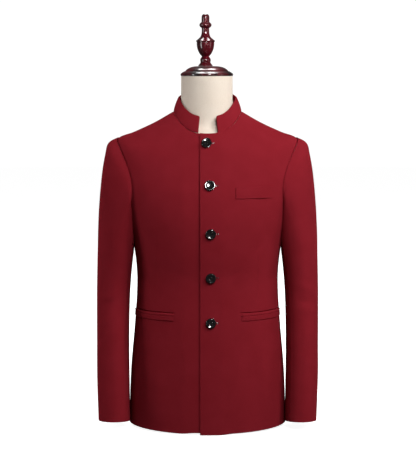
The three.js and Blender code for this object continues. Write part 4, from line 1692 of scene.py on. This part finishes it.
@dataclass
class DressForm:
    """The linen-covered torso and its turned wooden cap and finial."""

    body: JacketBody
    shop: Workshop
    finishes: Finishes
    neck_x: float = -1.5
    neck_radius: float = 57.3
    neck_top: float = 793.0
    floor: float = 4.5
    finial_x: float = -4.5
    turned_gap: float = 0.3
    columns: int = 144
    rows: int = 120
    spin_steps: int = 96
    eases: Curves = field(default_factory=lambda: Curves(FORM_EASE, "station"))

    def torso_rings(self, angles: np.ndarray) -> np.ndarray:
        """The rings under the jacket, from the neckline down."""
        torso = self.body.torso
        stations = np.linspace(0, torso.hem, self.rows)[:, None]
        flat = torso.point(angles, stations)
        lap = np.where(np.cos(angles) > 0, self.body.lap(flat[..., 0]), 0)
        inside = self.body.under_lift * lap - self.body.thick - self.eases("ease", stations)
        return torso.off(angles, stations, inside)

    def neck_rings(self, angles: np.ndarray, foot: np.ndarray) -> np.ndarray:
        """The rings of the neck, from its top down to the neckline.

        Args:
            angles: angles of the ring's points.
            foot: the first ring under the jacket.

        Returns:
            The rings.
        """
        shares = ((0, 0), (0.22, 3), (0.4, 6), (0.62, 10), (0.82, 15), (0.95, 21), (1, 29))
        share_at, rises = np.array(shares).T
        steps = np.linspace(0, rises[-1], 16)[1:]
        share = np.interp(steps, rises, share_at)
        round_neck = np.stack(
            [
                self.neck_x + self.neck_radius * np.sin(angles),
                -self.neck_radius * np.cos(angles),
                foot[:, 2],
            ],
            axis=-1,
        )
        blend = foot + (round_neck - foot) * share[:, None, None]
        blend[..., 2] = foot[:, 2] + steps[:, None]
        top = round_neck.copy()
        top[:, 2] = self.neck_top
        straight = blend[-1] + (top - blend[-1]) * np.linspace(0, 1, 12)[1:, None, None]
        return np.concatenate([straight[::-1], blend[::-1]])

    def linen(self) -> bpy.types.Object:
        """The covered torso, closed at the neck's top and at its flat base.

        Returns:
            The piece.
        """
        angles = np.linspace(0, math.tau, self.columns, endpoint=False)
        torso = self.torso_rings(angles)
        base = torso[-1].copy()
        base[:, 2] = self.floor
        rings = np.concatenate([self.neck_rings(angles, torso[0]), torso, base[None]])
        count = len(rings)
        index = np.arange(count * self.columns).reshape(count, self.columns)
        beside = np.roll(index, -1, axis=1)
        faces = np.stack([index[:-1], index[1:], beside[1:], beside[:-1]], axis=-1).reshape(-1, 4).tolist()
        faces.append(index[0].tolist())
        faces.append(index[-1, ::-1].tolist())
        mesh = bpy.data.meshes.new("form_linen")
        placed = self.shop.metres(rings.reshape(-1, 3))
        mesh.from_pydata(placed.tolist(), [], faces)
        layer = mesh.uv_layers.new(name="UVMap")
        down = np.pad(np.cumsum(np.linalg.norm(np.diff(rings, axis=0), axis=-1).mean(axis=1)), (1, 0))
        around = np.arange(self.columns) / self.columns * math.tau * 110
        places = np.stack(np.broadcast_arrays(around[None, :], down[:, None]), axis=-1).reshape(-1, 2) * MM
        uv = places[corner_points(mesh)]
        starts = np.zeros(len(mesh.polygons), np.int32)
        mesh.polygons.foreach_get("loop_start", starts)
        for corner in starts[: (count - 1) * self.columns]:
            quad = uv[corner : corner + 4]
            if np.ptp(quad[:, 0]) > 0.3:
                quad[quad[:, 0] < 0.3, 0] += math.tau * 110 * MM
        layer.data.foreach_set("uv", uv.astype(np.float32).ravel())
        mesh.shade_smooth()
        piece = linked("form_linen", mesh)
        select_only(piece)
        bpy.ops.object.mode_set(mode="EDIT")
        bpy.ops.mesh.select_all(action="SELECT")
        bpy.ops.mesh.normals_make_consistent(inside=False)
        bpy.ops.object.mode_set(mode="OBJECT")
        bpy.ops.object.shade_smooth_by_angle(angle=math.radians(50))
        return dress(piece, self.finishes.linen, "linen", "form_body")

    def turned(self, name: str, profile: tuple[Turn, ...], x: float, z: float, node: str) -> bpy.types.Object:
        """A piece turned on a lathe: its profile spun round its axis.

        Args:
            name: the piece's name.
            profile: the profile from its foot up.
            x: where its axis stands.
            z: height of its foot.
            node: the CAD node that it replaces.

        Returns:
            The piece.
        """
        outline = smooth_profile(profile)
        mesh = bpy.data.meshes.new(name)
        placed = self.shop.metres(np.array([[x + radius, 0, z + height] for radius, height in outline]))
        mesh.from_pydata(placed.tolist(), [(i, i + 1) for i in range(len(outline) - 1)], [])
        piece = linked(name, mesh)
        select_only(piece)
        centre = self.shop.metres(np.array([x, 0, z]))
        bpy.ops.object.mode_set(mode="EDIT")
        bpy.ops.mesh.select_all(action="SELECT")
        bpy.ops.mesh.spin(steps=self.spin_steps, angle=math.tau, center=tuple(centre), axis=(0, 0, 1))
        bpy.ops.mesh.select_all(action="SELECT")
        bpy.ops.mesh.remove_doubles(threshold=2e-6)
        bpy.ops.mesh.normals_make_consistent(inside=False)
        bpy.ops.object.mode_set(mode="OBJECT")
        bpy.ops.object.shade_smooth_by_angle(angle=math.radians(32))
        return dress(piece, self.finishes.mahogany, "mahogany", node)

    def build(self) -> None:
        """Makes the linen torso, the cap and the finial."""
        self.linen()
        cap_foot = self.neck_top + self.turned_gap
        self.turned("wooden_cap", CAP_PROFILE, self.neck_x, cap_foot, "neck_cap")
        finial_foot = cap_foot + CAP_PROFILE[-1].height + self.turned_gap
        self.turned("wooden_finial", FINIAL_PROFILE, self.finial_x, finial_foot, "finial")


def smooth_profile(profile: tuple[Turn, ...], steps: int = 5) -> list[tuple[float, float]]:
    """A profile with smooth curves between its crisp points.

    Args:
        profile: the points.
        steps: points added along each stretch.

    Returns:
        Pairs of radius and height.
    """
    points = np.array([[p.radius, p.height] for p in profile])
    last = len(profile) - 1
    run = np.pad(np.cumsum(np.linalg.norm(np.diff(points, axis=0), axis=1)), (1, 0))
    slopes = np.zeros_like(points)
    for i in range(last + 1):
        before, after = max(i - 1, 0), min(i + 1, last)
        slopes[i] = (points[after] - points[before]) / (run[after] - run[before])
    outline = [tuple(points[0])]
    for i in range(last):
        start, end = points[i], points[i + 1]
        length = run[i + 1] - run[i]
        from_slope = end - start if profile[i].crisp else slopes[i] * length
        to_slope = end - start if profile[i + 1].crisp else slopes[i + 1] * length
        straight = profile[i].crisp and profile[i + 1].crisp
        for step in range(1, (1 if straight else steps) + 1):
            t = step / (1 if straight else steps)
            point = path_between(t, start, from_slope, end, to_slope)
            outline.append((max(float(point[0]), 0.0), float(point[1])))
    return outline


# The studio


@dataclass(frozen=True)
class Lamp:
    """A soft area light aimed at a point, in metres and watts."""

    name: str
    place: tuple[float, float, float]
    aim: tuple[float, float, float]
    width: float
    height: float
    watts: float
    lights: bool = True
    gleams: bool = True
    spread: float = 180.0


LAMPS = (
    Lamp("key", (0.55, -1.85, 1.9), (0, 0, 0.5), 0.9, 0.9, 33, gleams=False),
    Lamp("high_right", (1.35, -1.0, 1.75), (0, 0, 0.6), 0.6, 0.6, 22, gleams=False),
    Lamp("side_right", (2.3, 0.25, 0.75), (0.2, 0, 0.4), 0.5, 1.5, 8, gleams=False),
    Lamp("side_left", (-2.3, 0.25, 0.75), (-0.2, 0, 0.4), 0.5, 1.5, 19, gleams=False),
    Lamp("back_left", (-1.5, 2.3, 1.7), (0, 0, 0.45), 1.2, 1.4, 34, gleams=False),
    Lamp("back_right", (1.7, 2.2, 1.7), (0, 0, 0.45), 1.2, 1.4, 26, gleams=False),
    Lamp("gleam_left", (-1.75, -0.95, 0.62), (0, 0, 0.62), 0.2, 1.2, 14, lights=False),
    Lamp("gleam_right", (1.9, -0.75, 0.62), (0, 0, 0.62), 0.2, 1.2, 4, lights=False),
    Lamp("gleam_top", (0, 0.6, 2.6), (0, 0, 0.85), 1.2, 0.6, 52, lights=False),
    Lamp("gleam_buttons", (0.62, -2.45, 1.3), (0, -0.1, 0.5), 0.4, 0.8, 4, lights=False, spread=24),
)


@dataclass
class Studio:
    """A plain pale floor, soft lights and the camera at the photograph's angle."""

    floor_radius: float = 9.0
    floor_white: float = 0.94
    floor_glow: float = 0.93
    ambient: float = 0.06
    aim: tuple[float, float, float] = (0.0011, 0.0076, 0.4355)
    distance: float = 3.2
    pitch: float = 6.5
    lens: float = 109.4
    sensor: float = 36.0

    def floor(self) -> None:
        """A wide pale disc, which isn't part of the object."""
        select_only()
        bpy.ops.mesh.primitive_circle_add(vertices=96, radius=self.floor_radius, fill_type="NGON")
        floor = bpy.context.object
        floor.name = "studio_floor"
        tree = NodeTree("studio_white")
        white = (self.floor_white,) * 3
        tree.set(
            Base_Color=(*white, 1), Roughness=0.9, Specular_IOR_Level=0.1,
            Emission_Color=(1, 1, 1, 1), Emission_Strength=self.floor_glow,
        )
        floor.data.materials.append(tree.material)
        floor.visible_diffuse = False
        floor.visible_glossy = False

    def lamps(self) -> None:
        """The area lights."""
        for lamp in LAMPS:
            light = bpy.data.lights.new(lamp.name, "AREA")
            light.shape = "RECTANGLE"
            light.size, light.size_y = lamp.width, lamp.height
            light.energy = lamp.watts
            light.spread = math.radians(lamp.spread)
            holder = linked(lamp.name, light)
            holder.location = lamp.place
            toward = Vector(lamp.aim) - Vector(lamp.place)
            holder.rotation_euler = toward.to_track_quat("-Z", "Y").to_euler()
            holder.visible_diffuse = lamp.lights
            holder.visible_glossy = lamp.gleams
            holder.visible_camera = False

    def backdrop(self) -> None:
        """A white surrounding that lights the object only a little."""
        world = bpy.data.worlds.new("studio")
        world.use_nodes = True
        bpy.context.scene.world = world
        nodes, links = world.node_tree.nodes, world.node_tree.links
        background = nodes["Background"]
        background.inputs["Color"].default_value = (1, 1, 1, 1)
        seen = nodes.new("ShaderNodeLightPath").outputs["Is Camera Ray"]
        strength = nodes.new("ShaderNodeMapRange")
        strength.inputs["To Min"].default_value = self.ambient
        strength.inputs["To Max"].default_value = 1.05
        links.new(seen, strength.inputs["Value"])
        links.new(strength.outputs["Result"], background.inputs["Strength"])

    def camera(self) -> None:
        """The camera."""
        data = bpy.data.cameras.new("camera")
        data.lens = self.lens
        data.sensor_width = self.sensor
        data.sensor_fit = "AUTO"
        data.clip_end = 60
        holder = linked("camera", data)
        pitch = math.radians(self.pitch)
        aim = Vector(self.aim)
        holder.location = aim + self.distance * Vector((0, -math.cos(pitch), math.sin(pitch)))
        holder.rotation_euler = (math.pi / 2 - pitch, 0, 0)
        bpy.context.scene.camera = holder

    def build(self) -> None:
        """Makes the floor, the lights, the surrounding and the camera."""
        self.floor()
        self.lamps()
        self.backdrop()
        self.camera()
        bpy.context.scene.view_settings.view_transform = "Standard"
        bpy.context.scene.view_settings.look = "None"


def main() -> None:
    """Builds the studio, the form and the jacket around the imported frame."""
    logging.basicConfig(level=logging.INFO, format="%(name)s %(message)s")
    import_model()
    low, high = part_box("neck_cap")
    form = DressForm.__dataclass_fields__
    shift = np.array(
        [
            (low.x + high.x) / 2 / MM - form["neck_x"].default,
            (low.y + high.y) / 2 / MM,
            -form["floor"].default,
        ]
    )
    shop = Workshop(shift)
    finishes = Finishes()
    torso = Torso()
    Studio().build()
    body = JacketBody(torso, shop, finishes.wool)
    DressForm(body, shop, finishes).build()
    body.build()
    StandCollar(torso, shop, finishes.wool).build()
    Sleeves(SleeveShape(torso), shop, finishes.wool).build()
    Pockets(torso, shop, finishes.wool).build()
    Buttons(body, shop, finishes).build()


if __name__ == "__main__":
    main()
